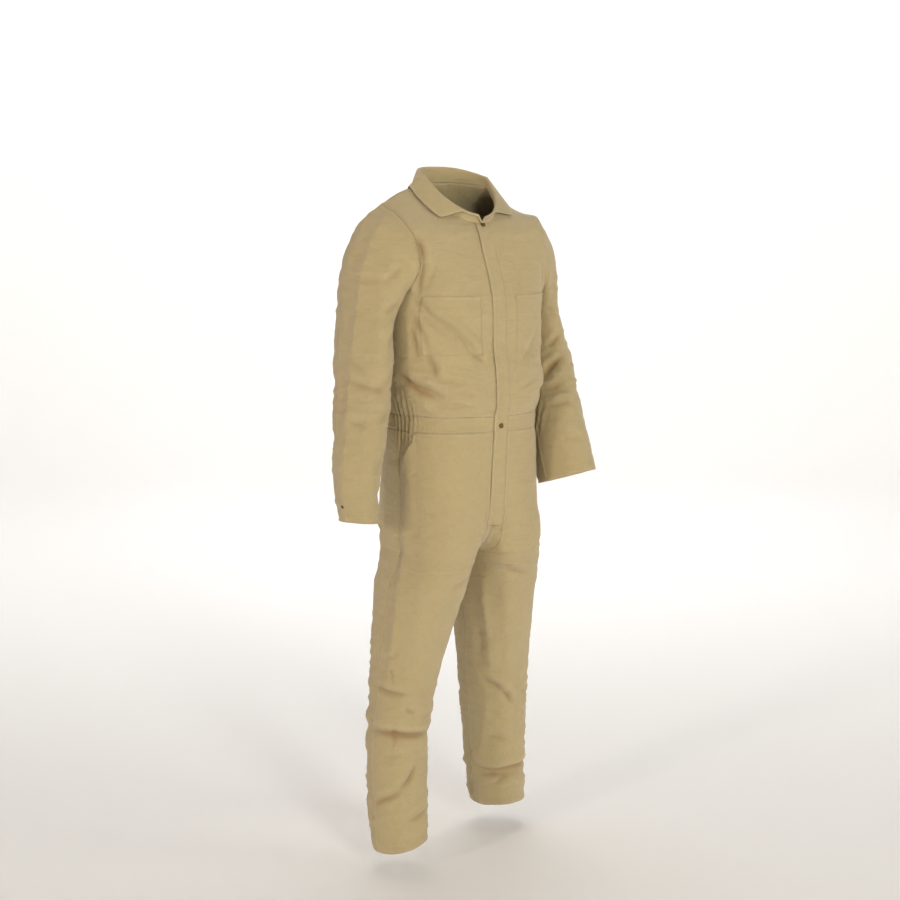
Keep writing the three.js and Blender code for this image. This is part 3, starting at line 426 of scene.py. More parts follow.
@dataclass
class WornShape:
    """Sizes of the worn form that all panels share, as in the solids."""

    neck_out: float = 82
    neck_front: tuple[float, float] = (-72, 1414)
    neck_side: tuple[float, float] = (20, 1493)
    neck_back: tuple[float, float] = (92, 1503)
    shoulder_out: float = 190
    shoulder_y: float = 24
    shoulder_z: dict[int, float] = field(default_factory=lambda: {RIGHT: 1453, LEFT: 1431})
    shoulder_full: dict[int, float] = field(default_factory=lambda: {RIGHT: 11, LEFT: -5})

    @staticmethod
    def quarter(angle: np.ndarray, square: np.ndarray) -> tuple[np.ndarray, np.ndarray]:
        """Rounded square: where a direction meets |side|^n + |centre|^n = 1.

        Args:
            angle: direction from the centre line in radians.
            square: the exponent n.

        Returns:
            Shares of the half width and of the depth.
        """
        s, c = np.sin(angle), np.cos(angle)
        reach = (np.abs(s) ** square + np.abs(c) ** square) ** (-1 / square)
        return s * reach, c * reach

    @staticmethod
    def angle_at(share: np.ndarray, square: np.ndarray) -> np.ndarray:
        """Angle at which the rounded square is a share of its width from the middle."""
        depth = np.maximum(0, 1 - np.abs(share) ** square) ** (1 / square)
        return np.arctan2(share, depth)

    @staticmethod
    def columns() -> np.ndarray:
        """Fine column positions in columns of the solids."""
        return np.linspace(0, HALF, HALF * FINE + 1)

    def column_angles(self, first: np.ndarray, edge: np.ndarray, last: float) -> np.ndarray:
        """Angle of each column: first to edge over one column, then evenly on to last.

        Args:
            first: angle of each row's first column.
            edge: angle of its second column of the solids.
            last: angle at the side.

        Returns:
            Angles, shaped as rows by fine columns.
        """
        u = self.columns()[None, :]
        first, edge = first[:, None], edge[:, None]
        return np.where(u <= 1, mix(first, edge, u), mix(edge, last, (u - 1) / (HALF - 1)))

    def bodice_row(self, table: SizeTable, sign: int) -> np.ndarray:
        """Rows of a bodice table as points from the centre line to the side.

        Args:
            table: sizes of the rows.
            sign: the wearer's right or left.

        Returns:
            Points, shaped as rows by fine columns.
        """
        get = {name: table.column(name)[:, None] for name in BODICE_NAMES.split()}
        square = get["square"]
        edge = self.angle_at(PLACKET_EDGE[sign] / get["out"], square)[:, 0]
        side, centre = self.quarter(self.column_angles(0 * edge, edge, math.pi / 2), square)
        corner = (get["centre_z"] + get["side_z"]) / 2
        return np.stack([
            sign * get["out"] * side,
            get["side_y"] + (get["centre_y"] - get["side_y"]) * centre,
            corner + (get["centre_z"] - corner) * centre + (get["side_z"] - corner) * side,
        ], axis=-1)

    def top_row(self, front: bool, sign: int) -> np.ndarray:
        """Neckline as a quarter ellipse that also rises, then the shoulder seam.

        Args:
            front: True for the front, False for the back.
            sign: the wearer's right or left.

        Returns:
            Points of one row of fine columns.
        """
        end_y, end_z = self.neck_front if front else self.neck_back
        side_y, side_z = self.neck_side
        u = self.columns()
        start = math.asin(PLACKET_EDGE[sign] / self.neck_out)
        angle = np.where(u <= 1, start * u, mix(start, math.pi / 2, (u - 1) / (NECK_COLUMNS - 1)))
        neck = np.stack([
            sign * self.neck_out * np.sin(angle),
            mix(side_y, end_y, np.cos(angle)),
            mix(end_z, side_z, 1 - np.cos(angle)),
        ], axis=-1)
        t = clamp01((u - NECK_COLUMNS) / (HALF - NECK_COLUMNS))
        full = self.shoulder_full[sign] * np.sin(math.pi * t)
        shoulder = np.stack([
            sign * mix(self.neck_out, self.shoulder_out, t),
            mix(side_y, self.shoulder_y, t),
            mix(side_z, self.shoulder_z[sign], t) + full,
        ], axis=-1)
        return np.where((u <= NECK_COLUMNS)[:, None], neck, shoulder)

    def bodice_half(self, table: SizeTable, front: bool, sign: int) -> np.ndarray:
        """Loft of the rows, evenly spaced along the side seam and the armhole.

        Args:
            table: sizes of the rows.
            front: True for the front, False for the back.
            sign: the wearer's right or left.

        Returns:
            Points from the waist up, shaped as fine rows by fine columns.
        """
        keys_rows = np.concatenate([self.bodice_row(table, sign), self.top_row(front, sign)[None]])
        side = keys_rows[:, -1]
        keys = np.concatenate([[0], np.cumsum(np.linalg.norm(np.diff(side, axis=0), axis=1))])
        v = np.linspace(0, LOW_ROWS + ARMHOLE_ROWS, (LOW_ROWS + ARMHOLE_ROWS) * FINE_DOWN + 1)
        armpit = keys[ARMPIT_KEY]
        upper = mix(armpit, keys[-1], (v - LOW_ROWS) / ARMHOLE_ROWS)
        at = np.where(v <= LOW_ROWS, v / LOW_ROWS * armpit, upper)
        points = through(keys, keys_rows, at)
        low = through(keys[: ARMPIT_KEY + 1], side[: ARMPIT_KEY + 1], at)
        share = clamp01(self.columns() - (HALF - 1))[None, :, None]
        under = (v <= LOW_ROWS)[:, None, None]
        return points + under * share * (low[:, None] - points[:, -1:])

    def armhole(self, sign: int, halves: dict[tuple[bool, int], np.ndarray]) -> np.ndarray:
        """Loop of the armhole from the armpit up the front and down the back.

        Args:
            sign: the wearer's right or left.
            halves: the four bodice halves.

        Returns:
            Points of the loop, the last one before the armpit.
        """
        start = LOW_ROWS * FINE_DOWN
        front = halves[True, sign][start:, -1]
        back = halves[False, sign][start:, -1]
        return np.concatenate([front, back[1:-1][::-1]])

    def sleeve(self, table: SizeTable, sign: int, loop: np.ndarray) -> np.ndarray:
        """Elliptic rings between an inner and an outer line, blended from the armhole's loop.

        Args:
            table: sizes of the rows.
            sign: the wearer's right or left.
            loop: points of the armhole.

        Returns:
            Points, shaped as fine rows down by points round.
        """
        v = np.linspace(0, SLEEVE_ROWS, SLEEVE_ROWS * FINE_DOWN + 1)
        at = (v / SLEEVE_ROWS) ** 1.15
        row = {name: value[:, None] for name, value in table.read("along", at).items()}
        angle = 2 * math.pi * np.arange(len(loop))[None] / len(loop)
        up, ahead = (1 - np.cos(angle)) / 2, np.sin(angle)
        rings = np.stack([
            sign * mix(row["inner"], row["outer"], up),
            row["y"] - row["depth"] * ahead,
            mix(row["inner_z"], row["outer_z"], up) + row["raised"] * ahead,
        ], axis=-1)
        left = (1 - ease(at / 0.3))[:, None, None]
        return rings + left * (loop - rings[0])[None]

    def leg(self, table: SizeTable, front: bool, sign: int) -> np.ndarray:
        """Rounded square sections down a leg, the inner ends joined into one body above.

        Args:
            table: sizes of the rows.
            front: True for the front, False for the back.
            sign: the wearer's right or left.

        Returns:
            Points from the waistband down, shaped as fine rows by fine columns.
        """
        bottom = table.column("height")[-1]
        ends, counts = [WAIST_BOTTOM], [0]
        for to, rows in LEG_BANDS:
            ends.append(max(to, bottom))
            counts.append(counts[-1] + rows)
        v = np.linspace(0, counts[-1], counts[-1] * FINE_DOWN + 1)
        height = np.interp(v, counts, ends)
        row = table.read("height", height)
        inner = clamp01((row["centre"] - row["join"]) / row["half"])
        first = -self.angle_at(inner, row["square"])
        reach = np.hypot(PLACKET_EDGE[sign], row["join"])
        near = self.angle_at((reach - row["centre"]) / row["half"], row["square"])
        even = mix(first, math.pi / 2, 1 / HALF)
        below = ease((FLY_BOTTOM - height) / 60)
        angle = self.column_angles(first, mix(near, even, below), math.pi / 2)
        row = {name: value[:, None] for name, value in row.items()}
        side, centre = self.quarter(angle, row["square"])
        out = row["centre"] + row["half"] * side
        joined = np.sqrt(np.maximum(0, out**2 - row["join"] ** 2))
        joined[height >= CROTCH, 0] = 0
        depth = -row["front"] if front else row["back"]
        return np.stack([
            sign * joined, row["y"] + depth * centre, height[:, None] - row["drop"] * side
        ], axis=-1)

    def band(self, depth: float, sign: int) -> np.ndarray:
        """Upright half of the waistband, from its top edge down.

        Args:
            depth: place of its middle along Y.
            sign: the wearer's right or left.

        Returns:
            Points, shaped as fine rows by fine columns.
        """
        rows = SizeTable(BODICE_NAMES, [
            (depth, z, 163, 0, z, 2.3) for z in np.linspace(WAIST_TOP, WAIST_BOTTOM, FINE_DOWN + 1)
        ])
        return self.bodice_row(rows, sign)


def across_back(half_of: Callable[[int], np.ndarray]) -> np.ndarray:
    """Full back from two halves that share the centre line."""
    right, left = half_of(RIGHT), half_of(LEFT)
    return np.concatenate([right[:, :0:-1], left], axis=1)


@dataclass
class Drape:
    """Moves cloth along its outward direction by its creases, gathers and small unevenness.

    Attributes:
        gather_pitch: distance between two gathers of the elastic, along X.
        gather_depth: depth of a gather at the elastic.
        gather_reach: how far a gather runs into the bodice and the trousers.
    """

    gather_pitch: float = 12.0
    gather_depth: float = 6.0
    gather_reach: float = 52.0
    strength: ClassVar[float] = 1.35
    pressed_strength: ClassVar[float] = 1.9

    @staticmethod
    def from_line(row: Sequence[float], p: np.ndarray, n: np.ndarray) -> tuple[np.ndarray, ...]:
        """Where points lie beside a line under the cloth, measured along the cloth.

        The part of the way from the line to a point that runs along the outward direction is the
        depth at which the straight line lies under the round cloth, and doesn't count as distance.

        Args:
            row: start and end of the line, six numbers.
            p: points in millimetres.
            n: outward directions.

        Returns:
            Share along the line, distance to its upper side, distance past its ends, and how
            surely the cloth is the one that the line lies under, from 0 to 1.
        """
        start, end = np.array(row[:3], float), np.array(row[3:6], float)
        way = end - start
        length = float(np.linalg.norm(way))
        t = clamp01((p - start) @ way / length**2)
        off = p - start - t[..., None] * way
        deep = np.einsum("...j,...j->...", off, n)
        side = np.cross(n, way / length)
        side = side * np.where(side[..., 2:] < 0, -1.0, 1.0)
        side /= np.maximum(np.linalg.norm(side, axis=-1, keepdims=True), 1e-6)
        signed = np.einsum("...j,...j->...", off, side)
        past = off @ way / length
        outside = np.maximum(0, np.maximum(-deep, deep - 0.3 * length))
        return t, signed, past, np.exp(-((outside / 12) ** 2))

    @staticmethod
    def creases(p: np.ndarray, n: np.ndarray) -> np.ndarray:
        """Narrow troughs about each line, with a lower ridge beside the trough.

        Args:
            p: points in millimetres.
            n: outward directions.

        Returns:
            Push along the direction at each point.
        """
        total = np.zeros(p.shape[:-1])
        for row in CREASES.rows:
            width, push, beside = row[6:]
            middle, length = (np.array(row[:3]) + row[3:6]) / 2, math.dist(row[:3], row[3:6])
            near = np.linalg.norm(p - middle, axis=-1) < 0.6 * length + 5 * width
            if not near.any():
                continue
            t, signed, past, sure = Drape.from_line(row, p[near], n[near])
            signed = signed - 0.25 * width * np.sin(5.1 * t + 0.05 * row[0]) * np.sin(math.pi * t)
            size = (0.15 + 0.85 * np.sin(math.pi * t) ** 0.7) * np.exp(-((past / (1.5 * width)) ** 2)) * sure
            trough = np.exp(-(np.abs(signed / width) ** 1.3))
            ridge = np.exp(-(((signed - 1.7 * width) / (1.1 * width)) ** 2))
            total[near] += Drape.strength * size * (push * trough + beside * ridge)
        return total

    def gathers(self, p: np.ndarray) -> np.ndarray:
        """Uneven waves across the elastic, deepest at the waistband, none at the front.

        Args:
            p: points in millimetres.

        Returns:
            Push along the direction at each point.
        """
        x, y, z = p[..., 0], p[..., 1], p[..., 2]
        back = clamp01((y + 92) / 60) * clamp01((SHOULDER_OUT - 3 - np.abs(x)) / 5)
        around = np.arctan2(x, -y - 0.001) * 150
        phase = around / self.gather_pitch * 2 * math.pi
        uneven = phase + 1.1 * np.sin(around / 31) + 0.7 * np.sin(around / 13 + 1)
        away = np.maximum(0, np.maximum(z - WAIST_TOP, WAIST_BOTTOM - z))
        reach = self.gather_reach * (0.6 + 0.4 * np.sin(around / 17 + 2))
        size = np.exp(-((away / reach) ** 2)) * back
        rim = 1 - 0.35 * np.exp(-(((away - 6) / 5) ** 2))
        return -self.gather_depth * size * rim * np.sin(uneven / 2) ** 2

    @staticmethod
    def pressed(p: np.ndarray, n: np.ndarray) -> np.ndarray:
        """Pressed edges: a sharp ridge on each line, with flatter cloth on both sides of it.

        Args:
            p: points in millimetres.
            n: outward directions.

        Returns:
            Push along the direction at each point.
        """
        total = np.zeros(p.shape[:-1])
        for row in PRESSED.rows:
            width, push = row[6:]
            t, signed, past, sure = Drape.from_line(row, p, n)
            away = np.hypot(signed, past)
            ends = ease(t * 8) * ease((1 - t) * 8)
            ridge = np.exp(-away / width) - 0.3 * np.exp(-(((away - 2.2 * width) / width) ** 2))
            total += Drape.pressed_strength * push * (0.3 + 0.7 * ends) * ridge * sure
        return total

    @staticmethod
    def scatter(p: np.ndarray, pitch: tuple[float, float, float], seed: float) -> np.ndarray:
        """Smooth field of chance heights from -1 to 1 on a lattice, the same for the same place.

        Args:
            p: points in millimetres.
            pitch: spacing of the lattice along each axis.
            seed: number that picks one of many fields.

        Returns:
            Height at each point, eased between the eight lattice places round it.
        """
        q = p / np.array(pitch)
        cell = np.floor(q)
        share = ease(q - cell)
        total = np.zeros(p.shape[:-1])
        for corner in np.ndindex(2, 2, 2):
            place = (cell + corner) @ np.array([12.9898, 78.233, 37.719]) + seed
            height = np.modf(np.abs(np.sin(place)) * 43758.5453)[0]
            total += height * np.prod(np.where(corner, share, 1 - share), axis=-1)
        return total * 2 - 1

    @staticmethod
    def unevenness(p: np.ndarray) -> np.ndarray:
        """Long low waves, and small crumples that are sharper and higher where the suit bends.

        A crumple is 1 - 2 |h| of a chance field h: a sharp line where h passes zero.

        Args:
            p: points in millimetres.

        Returns:
            Push along the direction at each point.
        """
        x, z = p[..., 0], p[..., 2]
        waves = 1.6 * Drape.scatter(p, (90, 90, 120), 3.0) + 0.9 * Drape.scatter(p, (44, 44, 60), 8.0)
        bends = sum(high * np.exp(-(((z - at) / reach) ** 2)) for at, reach, high in BENDS)
        bends = np.where(np.abs(x) > SHOULDER_OUT - 5, 0.9 + 0.5 * bends, 0.35 + bends)
        large = 1 - 2 * np.abs(Drape.scatter(p, (52, 52, 21), 14.0))
        small = 1 - 2 * np.abs(Drape.scatter(p, (26, 26, 11), 21.0))
        return waves + bends * (2.2 * large + 1.0 * small)

    @staticmethod
    def thigh_ease(p: np.ndarray) -> np.ndarray:
        """Slack at the outer thighs, so the hips run softly into the legs at the thigh seam.

        Args:
            p: points in millimetres.

        Returns:
            Push along the direction at each point.
        """
        outer = ease((np.abs(p[..., 0]) - 105) / 45) * (np.abs(p[..., 0]) < SHOULDER_OUT + 12)
        high = 8.0 * np.exp(-(((p[..., 2] - 740) / 42) ** 2))
        return outer * (high - 5.0 * np.exp(-(((p[..., 2] - 655) / 24) ** 2)))

    def push(self, p: np.ndarray, n: np.ndarray) -> np.ndarray:
        """Everything that moves the cloth, in millimetres outwards."""
        folded = self.creases(p, n) + self.pressed(p, n) + self.gathers(p)
        return folded + self.unevenness(p) + self.thigh_ease(p)


def linear_colour(code: str) -> tuple[float, float, float, float]:
    """sRGB hex colour as linear values."""
    parts = [int(code[k : k + 2], 16) / 255 for k in (1, 3, 5)]
    return (*(c / 12.92 if c <= 0.04045 else ((c + 0.055) / 1.055) ** 2.4 for c in parts), 1.0)


def add_node(tree: bpy.types.NodeTree, kind: str, links: Optional[dict] = None, **settings: object
             ) -> bpy.types.Node:
    """Adds a shader node, sets it up and links its inputs.

    Args:
        tree: the material's node tree.
        kind: the node's type name.
        links: input name or number to an output socket or a plain value.
        **settings: the node's own properties.

    Returns:
        The node.
    """
    node = tree.nodes.new(kind)
    for name, value in settings.items():
        setattr(node, name, value)
    for key, value in (links or {}).items():
        if isinstance(value, bpy.types.NodeSocket):
            tree.links.new(value, node.inputs[key])
        else:
            node.inputs[key].default_value = value
    return node


@dataclass(frozen=True)
class WashedTwill:
    """Washed cotton drill in a three-and-one twill: matt, with faint slanting ribs, paler wear, and painted
    shade and highlight on its creases.

    Attributes:
        ground: colour of the cloth in even light.
        worn: paler colour for rubbed wear at the sewn edges, also a painted highlight on the ridges of
            creases and seams.
        deep: painted shade, the darker colour laid into the troughs of the creases.
        rib_pitch: distance between two ribs of the twill in millimetres. The real 0.8 mm is finer
            than a picture point here, so the ribs are drawn as coarse as they need to show.
        slub_pitch: length of a thick place in the yarn in millimetres.
        groove_at: distance of the sewn groove from a border, and groove_half: half its width.
        roughness: matt, as washed cotton is.
        sheen: pale light off the raised fibres.
    """

    name: str = "washed_cotton_twill"
    ground: str = "#b9a67c"
    # paler colour: rubbed wear at the edges, and painted highlight on crease and seam ridges
    worn: str = "#c4b189"
    # painted shade colour for the crease troughs
    deep: str = "#9a7a52"
    rib_pitch: float = 2.2
    slub_pitch: float = 14.0
    groove_at: float = 7.0
    groove_half: float = 1.2
    roughness: float = 0.92
    sheen: float = 0.25

    def build(self) -> bpy.types.Material:
        """Makes the material: colour from wear, slubs and painted crease shade and highlight, bump from ribs,
        yarn and seams.

        Returns:
            The material.
        """
        material = bpy.data.materials.new(self.name)
        material.use_nodes = True
        tree = material.node_tree
        tree.nodes.clear()
        place = add_node(tree, "ShaderNodeTexCoord")
        edge = add_node(tree, "ShaderNodeAttribute", attribute_name="edge")
        crease = add_node(tree, "ShaderNodeAttribute", attribute_name="crease")
        turn = add_node(tree, "ShaderNodeMapping", {0: place.outputs["UV"], 2: (0, 0, math.radians(63))})
        ribs = add_node(tree, "ShaderNodeTexWave", {
            0: turn.outputs[0], "Scale": math.pi / 10 / (self.rib_pitch / 1000), "Distortion": 0.7,
            "Detail": 1.0, "Detail Scale": 2.0,
        }, wave_type="BANDS", bands_direction="X")
        stretch = add_node(tree, "ShaderNodeMapping", {
            0: place.outputs["UV"], 3: (1000 / self.slub_pitch * 6, 1000 / self.slub_pitch, 1.0)})
        slubs = add_node(tree, "ShaderNodeTexNoise", {0: stretch.outputs[0], "Scale": 1.0, "Detail": 3.0})
        yarn = add_node(tree, "ShaderNodeTexNoise", {0: place.outputs["UV"], "Scale": 900.0, "Detail": 2.0})
        patches = add_node(tree, "ShaderNodeTexNoise", {
            0: place.outputs["Object"], "Scale": 9.0, "Detail": 4.0})
        mottle = add_node(tree, "ShaderNodeTexNoise", {
            0: place.outputs["Object"], "Scale": 55.0, "Detail": 5.0})
        near = add_node(tree, "ShaderNodeMapRange", {
            0: edge.outputs["Fac"], 1: 0.0, 2: 11.0, 3: 1.0, 4: 0.0}, interpolation_type="SMOOTHSTEP")
        # painted highlight: crease and seam ridges turn towards the paler colour
        raised = add_node(tree, "ShaderNodeMapRange", {
            0: crease.outputs["Fac"], 1: 0.0, 2: 4.0, 3: 0.0, 4: 0.5})
        # painted shade: crease troughs turn towards the darker colour
        painted_trough_shade = add_node(tree, "ShaderNodeMapRange", {
            0: crease.outputs["Fac"], 1: -1.0, 2: -8.0, 3: 0.0, 4: 0.75})
        rubbed = add_node(tree, "ShaderNodeMath", {
            0: near.outputs[0], 1: mottle.outputs["Fac"]}, operation="MULTIPLY")
        # real rubbed wear at the edges plus the painted highlight on ridges
        wear = add_node(tree, "ShaderNodeMath", {
            0: rubbed.outputs[0], 1: raised.outputs[0]}, operation="ADD", use_clamp=True)
        tone = add_node(tree, "ShaderNodeMix", {
            0: wear.outputs[0], 6: linear_colour(self.ground), 7: linear_colour(self.worn)}, data_type="RGBA")
        # painted shade mixed into the crease troughs
        shade = add_node(tree, "ShaderNodeMix", {
            0: painted_trough_shade.outputs[0], 6: tone.outputs[2], 7: linear_colour(self.deep)}, data_type="RGBA")
        grain = add_node(tree, "ShaderNodeMath", {
            0: slubs.outputs["Fac"], 1: 0.5, 2: 0.25}, operation="MULTIPLY_ADD")
        grain = add_node(tree, "ShaderNodeMath", {
            0: patches.outputs["Fac"], 1: 0.38, 2: grain.outputs[0]}, operation="MULTIPLY_ADD")
        grain = add_node(tree, "ShaderNodeMath", {
            0: mottle.outputs["Fac"], 1: 0.30, 2: grain.outputs[0]}, operation="MULTIPLY_ADD")
        grain = add_node(tree, "ShaderNodeMapRange", {0: grain.outputs[0], 1: 0.55, 2: 1.15, 3: 0.9, 4: 1.09})
        lines = add_node(tree, "ShaderNodeMapRange", {
            0: ribs.outputs["Fac"], 1: 0.0, 2: 1.0, 3: 0.97, 4: 1.02})
        grain = add_node(tree, "ShaderNodeMath", {
            0: grain.outputs[0], 1: lines.outputs[0]}, operation="MULTIPLY")
        colour = add_node(tree, "ShaderNodeVectorMath", {
            0: shade.outputs[2], 3: grain.outputs[0]}, operation="SCALE")
        creped = add_node(tree, "ShaderNodeMapping", {0: place.outputs["Object"], 3: (16.0, 16.0, 40.0)})
        crumple = add_node(tree, "ShaderNodeTexNoise", {
            0: creped.outputs[0], "Scale": 1.0, "Detail": 6.0, "Roughness": 0.55, "Distortion": 1.2})
        crumple_bump = add_node(tree, "ShaderNodeBump", {
            "Height": crumple.outputs["Fac"], "Strength": 0.7, "Distance": 0.006})
        rib_bump = add_node(tree, "ShaderNodeBump", {
            "Height": ribs.outputs["Fac"], "Strength": 0.5, "Distance": 0.0005,
            "Normal": crumple_bump.outputs[0]})
        yarn_bump = add_node(tree, "ShaderNodeBump", {
            "Height": yarn.outputs["Fac"], "Strength": 0.3, "Distance": 0.0004,
            "Normal": rib_bump.outputs[0]})
        slub_bump = add_node(tree, "ShaderNodeBump", {
            "Height": mottle.outputs["Fac"], "Strength": 0.5, "Distance": 0.002,
            "Normal": yarn_bump.outputs[0]})
        groove = add_node(tree, "ShaderNodeMath", {
            0: edge.outputs["Fac"], 1: self.groove_at, 2: self.groove_half}, operation="COMPARE")
        seam_bump = add_node(tree, "ShaderNodeBump", {
            "Height": groove.outputs[0], "Strength": 0.6, "Distance": 0.0006,
            "Normal": slub_bump.outputs[0]}, invert=True)
        shader = add_node(tree, "ShaderNodeBsdfPrincipled", {
            "Base Color": colour.outputs[0], "Roughness": self.roughness, "Normal": seam_bump.outputs[0],
            "Sheen Weight": self.sheen, "Sheen Roughness": 0.6, "Specular IOR Level": 0.2})
        out = add_node(tree, "ShaderNodeOutputMaterial")
        tree.links.new(shader.outputs[0], out.inputs[0])
        return material


@dataclass(frozen=True)
class SewingThread:
    """Polyester core thread, spun: a little paler and smoother than the cloth it sinks into."""

    name: str = "spun_sewing_thread"
    colour: str = "#ab966c"

    def build(self) -> bpy.types.Material:
        """Makes the material: one dye colour broken by the twist.

        Returns:
            The material.
        """
        material = bpy.data.materials.new(self.name)
        material.use_nodes = True
        tree = material.node_tree
        place = add_node(tree, "ShaderNodeTexCoord")
        twist = add_node(tree, "ShaderNodeTexNoise", {0: place.outputs["Object"], "Scale": 700.0})
        tone = add_node(tree, "ShaderNodeMix", {
            0: twist.outputs["Fac"], 6: linear_colour(self.colour), 7: linear_colour("#b8a276")},
            data_type="RGBA")
        shader = tree.nodes["Principled BSDF"]
        tree.links.new(tone.outputs[2], shader.inputs["Base Color"])
        shader.inputs["Roughness"].default_value = 0.7
        return material


@dataclass(frozen=True)
class AgedBrass:
    """Pressed brass snap cap, darkened in use: brown film with brighter rubbed metal."""

    name: str = "aged_brass"
    film: str = "#5f4c31"
    bare: str = "#8c7448"

    def build(self) -> bpy.types.Material:
        """Makes the material: film and bare metal mixed by wear patches of about 1 mm.

        Returns:
            The material.
        """
        material = bpy.data.materials.new(self.name)
        material.use_nodes = True
        tree = material.node_tree
        place = add_node(tree, "ShaderNodeTexCoord")
        patch = add_node(tree, "ShaderNodeTexNoise", {
            0: place.outputs["Object"], "Scale": 600.0, "Detail": 3.0})
        share = add_node(tree, "ShaderNodeMapRange", {
            0: patch.outputs["Fac"], 1: 0.45, 2: 0.7, 3: 0.0, 4: 1.0})
        tone = add_node(tree, "ShaderNodeMix", {
            0: share.outputs[0], 6: linear_colour(self.film), 7: linear_colour(self.bare)},
            data_type="RGBA")
        dent = add_node(tree, "ShaderNodeBump", {
            "Height": patch.outputs["Fac"], "Strength": 0.2, "Distance": 0.0002})
        shader = tree.nodes["Principled BSDF"]
        tree.links.new(tone.outputs[2], shader.inputs["Base Color"])
        tree.links.new(dent.outputs[0], shader.inputs["Normal"])
        shader.inputs["Metallic"].default_value = 0.85
        shader.inputs["Roughness"].default_value = 0.42
        return material


def metres(points: np.ndarray) -> np.ndarray:
    """Millimetres above the floor as metres in the frame of the solids."""
    return (points - (0, 0, HOLD_HEIGHT)) / 1000


def new_object(name: str, points: np.ndarray, faces: list, material: bpy.types.Material
               ) -> bpy.types.Object:
    """Smooth mesh on an object at the origin, with its place in its points.

    Args:
        name: the object's name.
        points: places in metres, xyz last.
        faces: point numbers of each face, seen from outside.
        material: its finish.

    Returns:
        The object, linked into the scene.
    """
    mesh = bpy.data.meshes.new(name)
    mesh.from_pydata(points.reshape(-1, 3).tolist(), [], faces)
    mesh.polygons.foreach_set("use_smooth", np.ones(len(mesh.polygons), bool))
    mesh.update()
    mesh.materials.append(material)
    made = bpy.data.objects.new(name, mesh)
    bpy.context.scene.collection.objects.link(made)
    return made


@dataclass
class ClothPiece:
    """One cut piece of cloth: a thin shell on a grid, that stands for its solid.

    Attributes:
        name: the piece's name in the scene.
        grid: its outer face.
        node: the solid it stands for.
        flat: width and length in metres of the cut it is made from. Not used.
        share: how much of that rectangle the cut fills. Not used.
        sewn: which of its four borders are sewn or turned: top, bottom, first, last column.
    """

    name: str
    grid: Grid
    node: str
    flat: tuple[float, float]
    share: float = 1.0
    held: str = "draped"
    sewn: str = "tbfl"
    thick: float = CLOTH_THICK

    def lengths(self) -> tuple[np.ndarray, np.ndarray]:
        """Running length in millimetres over the rows and down the columns, one column more if closed.

        Returns:
            Lengths over and lengths down at each point.
        """
        rows = self.grid.rows
        if self.grid.closed:
            rows = np.concatenate([rows, rows[:, :1]], axis=1)
        over = np.cumsum(np.linalg.norm(np.diff(rows, axis=1), axis=2), axis=1)
        down = np.cumsum(np.linalg.norm(np.diff(rows, axis=0), axis=2), axis=0)
        return np.pad(over, ((0, 0), (1, 0))), np.pad(down, ((1, 0), (0, 0)))

    def edge_distance(self, over: np.ndarray, down: np.ndarray) -> np.ndarray:
        """Distance in millimetres to the nearest sewn border, along the cloth.

        Args:
            over: running length over the rows.
            down: running length down the columns.

        Returns:
            Distance at each point, 60 at most.
        """
        count = self.grid.rows.shape[1]
        far = np.full(over.shape, 60.0)
        if "t" in self.sewn:
            far = np.minimum(far, down)
        if "b" in self.sewn:
            far = np.minimum(far, down[-1:] - down)
        if "f" in self.sewn and not self.grid.closed:
            far = np.minimum(far, over)
        if "l" in self.sewn and not self.grid.closed:
            far = np.minimum(far, over[:, -1:] - over)
        return far[:, :count]

    def make_mesh(self, material: bpy.types.Material) -> bpy.types.Object:
        """Makes the shell with its UVs in metres and its attributes.

        Args:
            material: the cloth.

        Returns:
            The piece.
        """
        grid = self.grid
        down_count, over_count = grid.rows.shape[:2]
        over, down = self.lengths()
        index = np.arange(down_count * over_count).reshape(down_count, over_count)
        wide = np.concatenate([index, index[:, :1]], axis=1) if grid.closed else index
        near, far = slice(None, -1), slice(1, None)
        corners = [(near, near), (near, far), (far, far), (far, near)]
        faces, u, v = (np.stack([at[c] for c in corners], axis=-1) for at in (wide, over, down))
        if grid.outward < 0:
            faces, u, v = faces[..., ::-1], u[..., ::-1], v[..., ::-1]
        piece = new_object(self.name, metres(grid.rows), faces.reshape(-1, 4).tolist(), material)
        mesh = piece.data
        layer = mesh.uv_layers.new(name="UVMap")
        layer.data.foreach_set("uv", (np.stack([u, v], axis=-1).reshape(-1) / 1000).astype(np.float32))
        # the crease heights carry the painted shade and highlight into the cloth
        values = {"edge": self.edge_distance(over, down),
                  "crease": grid.crease if grid.crease is not None else np.zeros(index.shape)}
        for name, value in values.items():
            attribute = mesh.attributes.new(name, "FLOAT", "POINT")
            attribute.data.foreach_set("value", np.ascontiguousarray(value, np.float32).reshape(-1))
        shell = piece.modifiers.new("thickness", "SOLIDIFY")
        shell.thickness = self.thick / 1000
        shell.offset = -1
        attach(piece, "root")
        return piece

    def build(self, material: bpy.types.Material) -> bpy.types.Object:
        """Makes the shell and lets it stand for its solid.

        Args:
            material: the cloth.

        Returns:
            The piece.
        """
        piece = self.make_mesh(material)
        rows = self.grid.rows
        if self.grid.closed:
            rows = np.concatenate([rows, rows[:, :1]], axis=1)
        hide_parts(self.node)
        return piece


